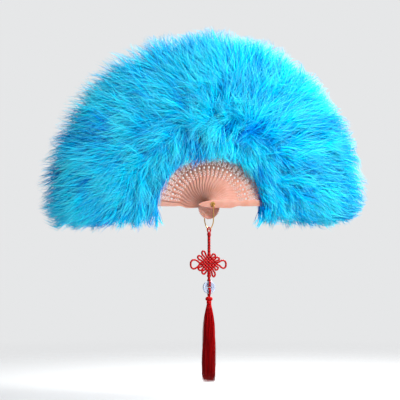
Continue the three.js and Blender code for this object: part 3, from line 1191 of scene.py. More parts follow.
    def first(self, number: int) -> float:
        """Returns how far from the pivot the down of a stick starts."""
        return self.start - self.start_fall * math.cos(self.fan.angle(number)) ** 2

    def centre(self, radius: np.ndarray, number: int) -> np.ndarray:
        """Returns where the middle of the fluff lies in Y, at distances from the pivot."""
        share = np.clip((self.centred_by - radius) / (self.centred_by - self.start), 0, 1)
        return self.fan.middle(number) * share

    def core_depth(self, radius: np.ndarray) -> np.ndarray:
        """Works out half the depth of the matted core.

        Args:
            radius: Distances from the pivot.

        Returns:
            Half the depth at each.
        """
        share = np.clip((radius - self.start) / (self.end - self.start), 0, 1)
        first, more = self.core_swell
        return self.core_half * np.sin(math.pi * np.clip(first + more * share, 0, 1))

    def core(self, number: int) -> tuple[np.ndarray, np.ndarray, np.ndarray]:
        """Lays out the thick strands that make the matted core of one stick.

        Args:
            number: The stick's number from the front.

        Returns:
            Lines in (along, across, depth), radii and tones.
        """
        rng = np.random.default_rng((SEED, number, 1))
        sense = self.fan.place(number).value
        start = self.first(number) + self.core_inset
        count = self.guard_core_count if sense else self.core_count
        radius = np.sqrt(rng.uniform(start ** 2, self.end ** 2, count))
        side = rng.uniform(-0.5, 0.5, count) * self.fan.pitch * radius
        if sense:
            hanging = rng.uniform(size=count) < self.core_hanging
            side = np.where(hanging, sense * rng.uniform(0, self.droop, count), side)
        depth = rng.uniform(-self.core_filled, self.core_filled, count) * self.core_depth(radius)
        length = rng.uniform(*self.core_length_mm, count) * MM
        along = radius[:, None] + length[:, None] * np.linspace(-0.5, 0.5, self.stations)
        along = np.clip(along, start, self.end + self.core_past)
        along = along + rng.uniform(0, self.core_ragged_mm, (count, 1)) * MM
        across = side[:, None] + rng.normal(0, self.core_waver_mm, (count, self.stations)) * MM
        lines = np.stack([along, across, self.centre(along, number) + depth[:, None]], axis=-1)
        thick = np.interp(radius, [start, start + self.core_thick_after],
                          [self.core_thin, self.core_thick])
        radii = thick[:, None] * np.array(self.core_taper)
        # Painted shade: the core's strands get only dark tones
        return lines, radii, rng.uniform(0.0, self.core_shade_lightest, count)

    def flow(self, number: int, root: np.ndarray, inner: np.ndarray,
             hanging: np.ndarray) -> np.ndarray:
        """Says how barbs turn away from straight out.

        The outer barbs lean to the left over the top and sink at both sides. The inner ones hang
        down and part to both sides, and those below the guards spread both ways.

        Args:
            number: The stick's number from the front.
            root: How far from the pivot the barbs start.
            inner: Whether they lie inside the parting.
            hanging: Whether they hang below a guard.

        Returns:
            The turns in degrees, anticlockwise.
        """
        angle = math.degrees(self.fan.angle(number))
        ease = np.clip((self.rim + self.ease_past - root) / self.ease_reach, self.ease_least, 1)
        most, middle, width = self.outer_lean
        outer = most * math.tanh((angle - middle) / width) * ease
        most, middle, width = self.inner_part
        falling = 270 - most * math.tanh((angle - middle) / width) - angle
        share = (root - self.first(number)) / (self.end - self.first(number))
        first, less = self.below_spread
        below = 270 - angle + math.copysign(1, angle - 90) * (first - less * np.clip(share, 0, 1))
        return np.where(hanging, below, np.where(inner, falling, outer))

    def tufts(self, number: int, rng: np.random.Generator) -> Tufts:
        """Draws the tufts of one stick, on both faces.

        Args:
            number: The stick's number from the front.
            rng: Where the draws come from.

        Returns:
            The tufts.
        """
        sense = self.fan.place(number).value
        start = self.first(number)
        low = self.droop_tufts if sense else 0
        count = 2 * (self.tuft_count + low)
        order = np.arange(count) // 2
        face = np.where(np.arange(count) % 2 == 0, Face.FRONT.value, Face.BACK.value)
        hanging = order >= self.tuft_count
        rank = np.where(hanging, (order - self.tuft_count) / max(low, 1), order / self.tuft_count)
        rank = np.clip(rank + rng.uniform(0, 1, count) / self.tuft_count, 0, 1)
        root = np.sqrt(start ** 2 + (self.end ** 2 - start ** 2) * rank)
        side = np.where(hanging, sense * rng.uniform(self.droop_from, 1, count) * self.droop,
                        rng.uniform(-0.5, 0.5, count) * self.fan.pitch * root)
        inner = (root < self.parting + rng.normal(0, self.parting_mm, count) * MM) & ~hanging
        tangle = np.exp(-((root - self.parting) / self.tangle) ** 2) * ~hanging
        turn = np.radians(self.flow(number, root, inner, hanging)
                          + rng.normal(0, 1, count) * (self.turn_deg + self.tangle_turn_deg * tangle))
        proud = rng.uniform(0, 1, count)
        edge = np.clip((root - self.flat_from) / (self.end - self.flat_from), 0, 1)
        first, more = self.hanging_flat
        edge = np.where(hanging, np.clip(first + more * edge, 0, 1), edge)
        flat = edge * rng.uniform(0, 1, count) ** np.where(hanging, self.hanging_flat_power, 1.0)
        rise = (rng.normal(*self.rise_deg, count) + self.proud_rise_deg * proud
                + self.tangle_rise_deg * tangle) * (1 - self.flat_rise * flat)
        mean = np.where(hanging, self.hanging_mm, np.where(inner, self.inner_mm, self.outer_mm))
        length = mean + rng.normal(0, self.length_scatter_mm, count)
        length = length * (1 - self.flat_length * flat)
        bend = rng.normal(0, self.bend_deg, count)
        # Painted light: tufts that stand proud are lighter and those under them darker, with a random
        # scatter
        darkest, gain, scatter = self.tuft_tone
        tone = darkest + gain * proud + rng.normal(0, scatter, count)
        return Tufts(root, side, face, inner, turn, np.radians(rise), length, bend, tone)

    def barbs(self, number: int) -> tuple[np.ndarray, ...]:
        """Lays out the barbs of one stick, tuft by tuft, on both faces.

        Args:
            number: The stick's number from the front.

        Returns:
            Lines in (along, across, depth), radii, tones, the face that each belongs to, and how
            far to the side of its tuft it lies.
        """
        rng = np.random.default_rng((SEED, number, 2))
        tufts = self.tufts(number, rng)
        pick = np.repeat(np.arange(len(tufts.root)), self.strand_count)
        total = len(pick)
        spread = rng.normal(0, 1, (total, 2))
        root_r = np.clip(tufts.root[pick] + spread[:, 0] * self.root_mm[0] * MM,
                         self.first(number) - self.root_before, self.end + self.root_past)
        root_s = tufts.side[pick] + spread[:, 1] * self.root_mm[1] * MM
        facing = tufts.face[pick]
        deep = rng.uniform(*self.root_deep, total)
        root_y = self.centre(root_r, number) + facing * self.core_depth(root_r) * deep
        lock = spread[:, 1] * np.where(tufts.inner[pick], -1, 1)
        heading = (tufts.turn[pick] + np.radians(self.splay_deg) * lock
                   + np.radians(rng.normal(0, self.heading_deg, total)))
        climb = tufts.rise[pick] + np.radians(rng.normal(0, self.climb_deg, total))
        settled = np.radians(rng.normal(*self.settled_deg, total))
        curl = np.radians(tufts.bend_deg[pick] + rng.normal(0, self.curl_deg, total))
        stretch = np.clip(rng.normal(1, self.strand_scatter, total), *self.strand_range)
        length = tufts.length_mm[pick] * MM * stretch
        away = self._heading(heading, climb, facing)
        end = self._heading(heading + curl, settled, facing)
        angle = self.fan.angle(number)
        end = unit(end + self.weight * np.array([-math.sin(angle), -math.cos(angle), 0.0]))
        share = np.linspace(0, 1, self.stations)[None, :, None]
        origin = np.stack([root_r, root_s, root_y], axis=-1)[:, None]
        lines = origin + length[:, None, None] * (
            away[:, None] * (share - share ** 2 / 2) + end[:, None] * share ** 2 / 2)
        radii = rng.uniform(*self.barb_mm, total)[:, None] * MM * np.array(self.barb_taper)
        # Painted shade: barbs rooted nearer the middle of the down are darker
        middle, gain = self.depth_shade
        tones = tufts.tone[pick] + (deep - middle) * gain + rng.normal(0, self.barb_tone, total)
        return lines, radii, np.clip(tones, 0, 1), facing, lock

    @staticmethod
    def _heading(turn: np.ndarray, climb: np.ndarray, facing: np.ndarray) -> np.ndarray:
        """Returns directions in (along, across, depth) from a turn in the fan and a rise out of it."""
        return np.stack([np.cos(turn) * np.cos(climb), np.sin(turn) * np.cos(climb),
                         facing * np.sin(climb)], axis=-1)

    @staticmethod
    def _ripple(way: np.ndarray, waves: Sequence[tuple[float, float, float]]) -> np.ndarray:
        """Returns a sum of sine waves along a way, each with its height, length and phase."""
        return sum(height * np.sin(way / length + phase) for height, length, phase in waves)

    def held(self, lines: np.ndarray) -> np.ndarray:
        """Draws barbs that run past the rim, the hem or the sag most of the way back.

        The depth is pressed to a round edge, with no flat face.

        Args:
            lines: The barbs' points in the frame's X, Y and Z.

        Returns:
            The points as they are held.
        """
        x, y, z = lines[..., 0], lines[..., 1], lines[..., 2]
        bulge = np.clip(y / self.under_half, -self.under_most, self.under_most)
        sag = -np.interp(x / MM, *zip(*self.sags)) * MM * (
            1 + self._ripple(x, self.sag_waves)) * (1 - self.under_round * bulge ** 2)
        z = np.where(z < sag, sag + self.sag_give * (z - sag), z)
        radius, turn = np.hypot(x, z), np.degrees(np.arctan2(z, x))
        turn = np.where(turn < -90, turn + 360, turn)
        rim = (np.interp(turn, *zip(*self.rims)) + self._ripple(turn, self.rim_waves)) * MM
        hem = np.interp(turn, *zip(*self.hems)) * MM
        kept = np.where(radius > rim, rim + self.rim_give * (radius - rim), radius)
        kept = np.where(kept < hem, hem - self.hem_give * (hem - kept), kept)
        share = np.abs(y) / self.half_depth(kept, z * kept / radius)
        y = y / (1 + share ** 3) ** (1 / 3)
        return np.stack([x * kept / radius, y, z * kept / radius], axis=-1)

    def half_depth(self, radius: np.ndarray, z: np.ndarray) -> np.ndarray:
        """Works out half the depth that barbs fill: less towards the rim, the hem and the sag.

        Args:
            radius: Distances from the pivot.
            z: Heights above it.

        Returns:
            Half the depth at each.
        """
        outwards, downwards = self.depth_waves
        ragged = 1 + self._ripple(radius, [outwards]) + self._ripple(z, [downwards])
        half = np.interp(radius / MM, *zip(*self.depths)) * MM
        return half * ragged * np.interp(z / MM, *zip(*self.thinned))

    def in_frame(self, lines: np.ndarray, number: int) -> np.ndarray:
        """Turns points of a stick into the frame's own.

        Args:
            lines: Points in (along, across, depth).
            number: The stick's number from the front.

        Returns:
            The points in X, Y and Z.
        """
        angle = self.fan.angle(number)
        along, across, depth = lines[..., 0], lines[..., 1], lines[..., 2]
        return np.stack([along * math.cos(angle) - across * math.sin(angle), depth,
                         along * math.sin(angle) + across * math.cos(angle)], axis=-1)

    def outward(self, lines: np.ndarray, facing: np.ndarray, lock: np.ndarray) -> np.ndarray:
        """Returns the way out of the fluff at each strand.

        It tips over towards the rim, and to both sides of a tuft, so that light shapes each lock.

        Args:
            lines: The strands' points.
            facing: The face that each belongs to.
            lock: How far to the side of its tuft each lies.

        Returns:
            One direction for each strand.
        """
        middle = lines[:, lines.shape[1] // 2]
        radius = np.hypot(middle[:, 0], middle[:, 2])
        proud = np.abs(middle[:, 1]) / self.half_depth(radius, middle[:, 2])
        proud = np.clip(proud / self.proud_at, self.proud_least, 1)[:, None]
        over = np.clip((radius - self.end) / (self.rim - self.end), 0, 1)[:, None]
        flat = unit(middle * np.array([1.0, 0.0, 1.0]))
        run = lines[:, -1] - lines[:, 0]
        swing = np.clip(lock, -self.lock_most, self.lock_most)[:, None]
        aside = unit(np.cross(run, [0.0, 1.0, 0.0])) * swing
        most, less = self.rim_tip
        return unit(over * (most - less * proud) * flat + self.lock_round * aside
                    + facing[:, None] * proud * np.array([0.0, 1.0, 0.0]))

    def build(self) -> None:
        """Builds the fluff of every stick."""
        material = self.finish.material()
        for number in range(self.fan.sticks):
            core, (*barbs, facing, lock) = self.core(number), self.barbs(number)
            lines, radii, tones = (np.concatenate(pair) for pair in zip(core, barbs))
            facing = np.concatenate([np.where(core[0][:, 1, 2] < 0, -1, 1), facing])
            lock = np.concatenate([np.zeros(len(core[0])), lock])
            lines = self.in_frame(lines, number)
            lines[len(core[0]):] = self.held(lines[len(core[0]):])
            strands = Strands(lines, radii, tones, outward=self.outward(lines, facing, lock))
            name = self.fan.plume(number)
            piece = strands.object(f"{name}_barbs", np.random.default_rng((SEED, number, 3)))
            settle(piece, f"{name}_barbs", self.fan.body(number), material, [name])


@dataclass
class Pivot:
    """The hollow rivet through the sticks and the wire bail whose ends sit in it."""

    finish: DrawnBrass
    bore: float = 1.05 * MM
    shank: float = 1.6 * MM
    flange: float = 3.4 * MM
    flange_depth: float = 0.5 * MM
    edge: float = 0.18 * MM
    wire: float = 0.75 * MM
    inset: float = 2.0 * MM
    bend: float = 1.6 * MM
    straight: float = 21.5 * MM
    foot_half: float = 5.5 * MM

    def build(self) -> None:
        """Builds both brass pieces."""
        material = self.finish.material()
        _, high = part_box("pivot_rivet")
        end, neck = high.y, high.y - self.flange_depth
        profile = [(self.bore, -end), (self.flange, -end), (self.flange, -neck),
                   (self.shank, -neck), (self.shank, neck), (self.flange, neck),
                   (self.flange, end), (self.bore, end)]
        rivet = turned("rivet", profile, Vector((0, 0, 0)), Axis.Y, 48)
        round_edges(rivet, self.edge)
        settle(rivet, "hollow_rivet", "front_guard", material, ["pivot_rivet"])
        bail = self.bent_wire(end)
        settle(bail, "wire_bail", "bail", material, ["bail"])

    def bent_wire(self, rivet_end: float) -> bpy.types.Object:
        """Bends the wire from one end of the rivet down round the heads and up to the other.

        Args:
            rivet_end: Where the rivet's outer face lies in Y.

        Returns:
            The wire as a mesh.
        """
        low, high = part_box("bail")
        leg = high.y - self.wire
        drop = -low.z - self.wire
        start = rivet_end - self.inset
        half = [((start, 0), (start, 0), (start, 0)),
                ((leg - self.bend, 0), (leg - 2 * self.bend, 0), (leg - self.bend / 2, 0)),
                ((leg, -self.bend), (leg, -self.bend / 2), (leg, -2 * self.bend)),
                ((leg, -self.straight), (leg, -self.straight + self.bend),
                 (leg, -(self.straight + drop) / 2))]
        foot = ((0, -drop), (-self.foot_half, -drop), (self.foot_half, -drop))
        far = [tuple((-y, z) for y, z in (knot[0], knot[2], knot[1])) for knot in half[::-1]]
        knots = [tuple((-y, z) for y, z in knot) for knot in half] + [foot]
        knots += [tuple((-y, z) for y, z in knot) for knot in far]
        bpy.ops.curve.primitive_bezier_curve_add()
        wire = bpy.context.object
        line = wire.data.splines[0]
        line.bezier_points.add(len(knots) - 2)
        for point, (at, before, after) in zip(line.bezier_points, knots):
            point.handle_left_type = point.handle_right_type = "FREE"
            point.co, point.handle_left, point.handle_right = (
                (0, y, z) for y, z in (at, before, after))
        wire.data.bevel_depth = self.wire
        wire.data.bevel_resolution = 5
        wire.data.resolution_u = 14
        wire.data.use_fill_caps = True
        choose(wire)
        bpy.ops.object.convert(target="MESH")
        wire = bpy.context.object
        bpy.ops.object.transform_apply()
        with editing(wire):
            close_up()
        smooth(wire)
        return wire


@dataclass
class Pendant:
    """The rope with its eye on the bail, and the endless knot with the small knot under it."""

    finish: RayonCord
    wire: float = Pivot.wire
    strand: float = 1.33 * MM
    rope_half: float = 2.2 * MM
    rope_top: float = -39.4 * MM
    rope_bottom: float = -70.55 * MM
    plies: int = 4
    ply: float = 0.98 * MM
    twist: float = 9.5 * MM
    # The eye round the wire, with its waist and neck measured from the wire's middle
    eye_strand: float = 1.05 * MM
    eye_gap: float = 0.3 * MM
    eye_reach: float = 3.05 * MM
    eye_waist: float = 1.3 * MM
    eye_neck: float = 4.8 * MM
    binding: float = 4.9 * MM
    binding_reach: float = 2.0 * MM
    binding_strand: float = 0.9 * MM
    binding_pitch: float = 1.7 * MM
    binding_turns: float = 2.2
    # The woven knot: its weave, where its cord comes in and goes out, its ears and its petals
    lines: int = 6
    weave: float = 1.27 * MM
    half_side: float = 9.8 * MM
    overrun: float = 1.04
    neck_half: float = 0.9 * MM
    foot_half: float = 0.8 * MM
    ear_reach: tuple[float, float] = (13.6 * MM, 11.6 * MM)
    ear_half: tuple[float, float] = (6.2 * MM, 5.4 * MM)
    ear_drop: tuple[float, float] = (0.9 * MM, 1.9 * MM)
    petal_half: float = 2.5 * MM
    # Reach of each petal in mm and its lean in degrees, in order along each side from the east or
    # south corner
    petals: tuple = (((6.0, -16), (5.2, -8)), ((9.2, -4), (9.4, 12)), ((6.6, 6), (6.8, 14)),
                     ((8.6, -24), (5.0, 0)))
    # The bead knot's turns of cord, from a narrow end out over its swell, and its heart
    bead_turns: float = 3.6
    bead_strand: float = 1.0 * MM
    bead_inset: float = 0.9 * MM
    bead_end: float = 0.9 * MM
    bead_swell: float = 1.25 * MM
    bead_heart: float = 1.3 * MM
    bead_tuck: float = 0.2 * MM

    def build(self) -> None:
        """Builds the rope, its eye, the knot and the bead knot."""
        material = self.finish.material()
        knot = self.endless_knot()
        settle(knot, "woven_knot", "pendant", material, ["endless_knot"])
        bead = self.bead_knot()
        settle(bead, "wound_knot", "pendant", material, ["bead_knot"])
        self.rope(material, knot)

    def rope(self, material: bpy.types.Material, knot: bpy.types.Object) -> None:
        """Twists the rope from the bail to the knot, with its eye round the wire.

        Args:
            material: The cord's finish.
            knot: The knot on the rope's far end. It is not used.
        """
        top, bottom = self.rope_top, self.rope_bottom
        heights = np.linspace(top, bottom, 70)
        plies = []
        for ply in range(self.plies):
            turn = 2 * math.pi * (ply / self.plies + (top - heights) / self.twist)
            path = about_z(self.rope_half - self.ply, turn, heights)
            plies.append(round_cord("ply", path, self.ply, sides=8))
        rope = joined(plies)
        settle(rope, "twisted_rope", "pendant", material, ["pendant_cord"])
        eye = self.eye()
        settle(eye, "rope_eye", "pendant", material)
        path = [(0.0, 0.0, z) for z in heights]

    def eye(self) -> bpy.types.Object:
        """Loops one strand round the bail's wire and binds it where it meets the rope.

        Returns:
            The eye with its binding.
        """
        low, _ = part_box("bail")
        middle = low.z + self.wire
        side = self.wire + self.eye_gap + self.eye_strand
        foot = 0.8 * self.eye_strand
        rising = [(foot, -self.eye_neck), (side, -self.eye_waist), (side, self.eye_waist)]
        round_wire = [*((-x, z) for x, z in rising), (0, self.eye_reach), *rising[::-1]]
        corners = [Vector((x, 0, middle + z)) for x, z in round_wire]
        loop = round_cord("eye", spline(corners, 8), self.eye_strand)
        turn = np.linspace(0, 2 * math.pi * self.binding_turns, 60)
        heights = middle - self.binding - self.binding_pitch * turn / (2 * math.pi)
        binding = about_z(self.binding_reach, turn, heights)
        return joined([loop, round_cord("binding", binding, self.binding_strand, sides=8)])

    def endless_knot(self) -> bpy.types.Object:
        """Weaves the knot: two runs of cord from the top to the bottom, and four closed loops.

        Returns:
            The knot.
        """
        last = self.lines - 1
        north = [Vector((sense * self.neck_half, 0, self.corner(1))) for sense in (1, -1)]
        south = [Vector((sense * self.foot_half, 0, self.corner(-1))) for sense in (-1, 1)]
        left = [north[1], *self.run(last, Lean.RIGHT)[::-1], *self.ear(-1),
                *self.run(0, Lean.LEFT)[::-1], south[1]]
        right = [north[0], *self.run(last, Lean.LEFT)[::-1], *self.ear(1),
                 *self.run(0, Lean.RIGHT)[::-1], south[0]]
        cords = [round_cord("run", spline(run, 5), self.strand) for run in (left, right)]
        for number, pair in enumerate((1, 3)):
            for side, lean in enumerate((Lean.RIGHT, Lean.LEFT)):
                loop = [*self.run(pair, lean), *self.petal(side, number),
                        *self.run(pair + 1, lean)[::-1], *self.petal(side + 2, number)]
                cords.append(round_cord("loop", spline(loop, 5, True), self.strand, closed=True))
        return joined(cords)

    def middle(self) -> float:
        """Returns the height of the knot's middle."""
        low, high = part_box("endless_knot")
        return (low.z + high.z) / 2

    def corner(self, sense: int) -> float:
        """Returns the height of the knot's top corner, or with -1 of its bottom one."""
        return self.middle() + sense * self.half_side * math.sqrt(2)

    def at(self, east: float, west: float, depth: float) -> Vector:
        """Places a point of the knot.

        Args:
            east: Its place towards the upper right.
            west: Its place towards the upper left.
            depth: Its place in Y.

        Returns:
            The point.
        """
        slant = math.sqrt(0.5)
        return Vector(((east - west) * slant, depth, self.middle() + (east + west) * slant))

    def offset(self, number: int) -> float:
        """Returns how far a line of the weave lies from the knot's middle."""
        pitch = 2 * self.half_side / self.lines
        return (number - (self.lines - 1) / 2) * pitch

    def run(self, number: int, lean: Lean) -> list[Vector]:
        """Runs a line of the weave over and under the lines that cross it.

        Args:
            number: The line's number from the bottom.
            lean: The upper side that it runs to.

        Returns:
            Its points from its lower end to its upper one.
        """
        others = range(self.lines)
        end = self.half_side * self.overrun
        along = [-end, *(self.offset(other) for other in others), end]
        depths = [0, *(lean.value * self.weave * (-1) ** (number + other) for other in others), 0]
        aside = self.offset(number)
        if lean is Lean.RIGHT:
            return [self.at(place, aside, depth) for place, depth in zip(along, depths)]
        return [self.at(aside, place, depth) for place, depth in zip(along, depths)]

    def petal(self, side: int, number: int) -> list[Vector]:
        """Returns a petal loop from a line of a side to the next one.

        Args:
            side: 0 upper right, 1 upper left, 2 lower left, 3 lower right.
            number: Which of the side's two petals, from its east or south end.

        Returns:
            Points round the petal, in the order that the loop needs.
        """
        reach, lean = self.petals[side][number]
        middle = (self.offset(2 * number + 1) + self.offset(2 * number + 2)) / 2
        tilt = math.sin(math.radians(lean)) * reach * MM
        shape = [(0.3, -0.75), (0.62, -1.0), (0.9, -0.72), (1.0, 0.0), (0.9, 0.72), (0.62, 1.0),
                 (0.3, 0.75)]
        points = []
        for out, across in shape:
            away = self.half_side + out * reach * MM
            along = middle + across * self.petal_half + tilt * out
            sense = 1 if side < 2 else -1
            if side in (0, 2):
                points.append(self.at(sense * away, along, 0))
            else:
                points.append(self.at(along, sense * away, 0))
        return points if side < 2 else points[::-1]

    def ear(self, sense: int) -> list[Vector]:
        """Returns the large loop at a side corner.

        Args:
            sense: -1 for the left corner and 1 for the right one.

        Returns:
            Points round the loop, in the order that the cord needs.
        """
        corner = self.half_side * math.sqrt(2)
        number = 0 if sense < 0 else 1
        reach, half, drop = self.ear_reach[number], self.ear_half[number], self.ear_drop[number]
        shape = [(0.12, 0.42), (0.45, 0.92), (0.78, 0.98), (0.97, 0.55), (1.0, -0.05),
                 (0.93, -0.62), (0.7, -1.0), (0.4, -0.86), (0.12, -0.42)]
        points = [Vector((sense * (corner + out * reach), 0, self.middle() + up * half - out * drop))
                  for out, up in shape]
        return points if sense < 0 else points[::-1]

    def bead_knot(self) -> bpy.types.Object:
        """Winds the cord in close turns round itself under the woven knot.

        Returns:
            The bead knot with its heart.
        """
        low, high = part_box("bead_knot")
        share = np.linspace(0, 1, 110)
        radius = self.bead_end + self.bead_swell * np.sin(math.pi * share)
        drop = (high.z - low.z - 2 * self.bead_inset) * share
        path = about_z(radius, 2 * math.pi * self.bead_turns * share, high.z - self.bead_inset - drop)
        core = np.array([[0, 0, z] for z in np.linspace(high.z + self.bead_tuck, low.z, 12)])
        return joined([round_cord("winding", path, self.bead_strand, sides=8),
                       round_cord("heart", core, self.bead_heart, sides=8)])


@dataclass
class RingAndTassel:
    """The jade ring, the two cord loops on it, and the tassel."""

    cord: RayonCord
    thread: RayonThread
    jade: WhiteJade
    # The ring: its hole and raised rim, how its edges are eased, and where the painted highlight of the
    # rim begins and ends beside the rim's inner edge
    hole: float = 2.7 * MM
    rim_width: float = 2.2 * MM
    recess: float = 0.35 * MM
    ease: float = 0.3 * MM
    wide_ease: float = 0.9 * MM
    step_in: float = 0.5 * MM
    step_out: float = 0.4 * MM
    rim_fall: float = 0.35 * MM
    rim_side: float = 1.0 * MM
    highlight_before: float = 0.4 * MM
    highlight_past: float = 0.5 * MM
    # The cord loops: how far they reach round the rim, how they close at the neck and at the end,
    # how far their two sides lie apart in Y there, how far the upper one runs on into the bead knot,
    # and how much each cord leans
    strand: float = 0.82 * MM
    loop_reach: float = 4.35 * MM
    loop_slack: float = 0.7 * MM
    loop_arc_deg: tuple = (-118, -75, -38, 0, 38, 75, 118)
    loop_apart: float = 0.96
    neck: float = 6.3 * MM
    neck_close: float = 0.9
    neck_half: float = 1.0 * MM
    end_close: float = 0.8
    end_half: float = 0.5 * MM
    tuck: float = 1.6 * MM
    lean: float = 0.06
    # The head: threads over a button from its crown down, by shares of its half width and falls in mm
    dome_deg: tuple = (8, 30, 50, 68, 84)
    dome_bow: float = 1.06
    dome_mm: float = 2.9
    side_bows: tuple = (1.08, 1.02, 0.9, 0.78)
    side_mm: tuple = (3.5, 4.3, 5.0, 5.5)
    head_gap: float = 0.2 * MM
    head_count: int = 60
    head_strand: float = 0.44 * MM
    head_waver: float = 0.015
    # The button's half width as a share and height in mm, from its top to its foot
    button: tuple = ((0.5, 4.2), (0.86, 2.9), (1.0, 1.4), (0.72, 0), (0.66, -5.4))
    button_top: float = 4.8 * MM
    pole: float = 0.05 * MM
    collar: float = 5.0 * MM
    collar_turns: int = 9
    collar_share: float = 0.72
    collar_start: float = 0.5 * MM
    collar_length: float = 4.6 * MM
    collar_strand: float = 0.36 * MM
    # The skirt: half its width in mm by the share of its length, how its threads clump, how unevenly
    # they end, and how far they waver and stray
    thread_count: int = 520
    thread_half: float = 0.3 * MM
    skirt_halves: tuple = ((0, 2.8), (0.03, 3.4), (0.1, 5.0), (0.3, 7.8), (0.6, 9.2), (0.85, 9.4),
                           (1.0, 8.8))
    skirt_tuck: float = 0.6 * MM
    clumps: int = 5
    clump_share: float = 0.10
    uneven_ends: float = 0.022
    shortest: float = 0.88
    short_share: float = 0.06
    short_length: float = 0.93
    waver_mm: float = 0.5
    stray_share: float = 0.04
    stray: float = 2.4 * MM

    def build(self) -> None:
        """Builds the ring, its cord loops and the tassel."""
        silk = self.cord.material()
        low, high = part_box("stone_ring")
        rim = (high.z - low.z) / 2 - self.rim_width
        # Painted highlight: the jade turns paler towards its rim
        jade = self.jade.material((low + high) / 2, rim - self.highlight_before, rim + self.highlight_past)
        settle(self.ring(), "jade_ring", "ring", jade, ["stone_ring"])
        settle(self.loop(1), "upper_loop", "ring", silk, ["ring_cord"])
        settle(self.loop(-1), "lower_loop", "tassel", silk, ["tassel_cord"])
        threads = self.thread.material()
        settle(self.head(), "bound_head", "tassel", threads, ["tassel_head"])
        settle(self.skirt(), "thread_skirt", "tassel", threads, ["tassel_skirt"])

    def ring(self) -> bpy.types.Object:
        """Turns the ring with a raised rim round each flat face.

        Returns:
            The ring.
        """
        low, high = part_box("stone_ring")
        outer, half = (high.z - low.z) / 2, (high.y - low.y) / 2
        inner = outer - self.rim_width
        side = [(self.hole, half - self.wide_ease), (self.hole + self.ease, half - self.ease),
                (self.hole + self.wide_ease, half - self.recess / 2),
                (inner - self.step_in, half - self.recess), (inner, half - self.recess / 4),
                (inner + self.step_out, half), (outer - self.wide_ease, half),
                (outer - self.ease, half - self.rim_fall), (outer, half - self.rim_side)]
        profile = [*side, *((radius, -y) for radius, y in reversed(side))]
        centre = Vector((0, 0, (low.z + high.z) / 2))
        ring = turned("ring", profile, centre, Axis.Y, 64)
        apply_modifier(ring, "SUBSURF", levels=1, render_levels=1)
        smooth(ring, 60)
        return ring

    def loop(self, sense: int) -> bpy.types.Object:
        """Lays a doubled cord through the ring's hole and round its rim, with room to swing.

        Args:
            sense: 1 for the loop above the ring, -1 for the one below it.

        Returns:
            The loop with its neck.
        """
        low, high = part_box("stone_ring")
        centre, outer = (low.z + high.z) / 2, (high.z - low.z) / 2
        middle = centre + sense * (outer + self.hole) / 2
        end_low, end_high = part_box("ring_cord" if sense > 0 else "tassel_cord")
        end = end_high.z + self.tuck if sense > 0 else end_low.z
        arc = []
        for turn in np.radians(self.loop_arc_deg):
            reach = self.loop_reach + self.loop_slack * max(math.cos(turn), 0) ** 2
            arc.append((reach * math.sin(turn), -sense * reach * math.cos(turn)))
        neck = middle + sense * self.neck
        cords = []
        for side in (-1, 1):
            x = side * self.strand * self.loop_apart
            at_end, at_neck = x * self.end_close, x * self.neck_close
            corners = [(at_end, -self.end_half, end), (at_neck, -self.neck_half, neck),
                       *((x + min(y, 0) * self.lean, y, middle + z) for y, z in arc),
                       (at_neck, self.neck_half, neck), (at_end, self.end_half, end)]
            cords.append(round_cord("cord", spline([Vector(c) for c in corners], 7), self.strand))
        return joined(cords)

    def head(self) -> bpy.types.Object:
        """Binds the tassel's head: threads drawn over a button, with a wound collar under it.

        Returns:
            The head.
        """
        rng = np.random.default_rng((SEED, 40))
        low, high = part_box("tassel_head")
        widest = (high.x - low.x) / 2
        collar_top = high.z - self.collar
        dome = np.radians(self.dome_deg)
        bow = np.concatenate([np.sin(dome) * self.dome_bow, self.side_bows]) * widest
        fall = np.concatenate([(1 - np.cos(dome)) * self.dome_mm, self.side_mm]) * MM
        count, stations = self.head_count, len(bow)
        turns = np.arange(count) / count * 2 * math.pi + rng.normal(0, self.head_waver, count)
        heights = np.broadcast_to(high.z - self.head_gap - fall, (count, stations))
        radii = np.full((count, stations), self.head_strand)
        radii[:, -1] = 0
        over = Strands(about_z(bow, turns[:, None], heights), radii, rng.uniform(0.5, 1.0, count),
                       sides=5).object("over", rng)
        profile = [(self.pole, self.button_top),
                   *((share * widest, height * MM) for share, height in self.button),
                   (self.pole, self.button[-1][1] * MM)]
        heart = turned("heart", profile, Vector((0, 0, collar_top)), Axis.Z, 32)
        heart.data.uv_layers.new(name=STRAND_MAP)
        turn = np.linspace(0, 2 * math.pi * self.collar_turns, 260)
        path = about_z(self.collar_share * widest, turn,
                     collar_top - self.collar_start - self.collar_length * turn / turn[-1])
        wound = np.full((1, len(path)), self.collar_strand)
        wound[:, -1] = 0
        collar = Strands(path[None], wound, np.array([0.95]), sides=6,
                         strip=0.02).object("collar", rng)
        return joined([over, heart, collar])

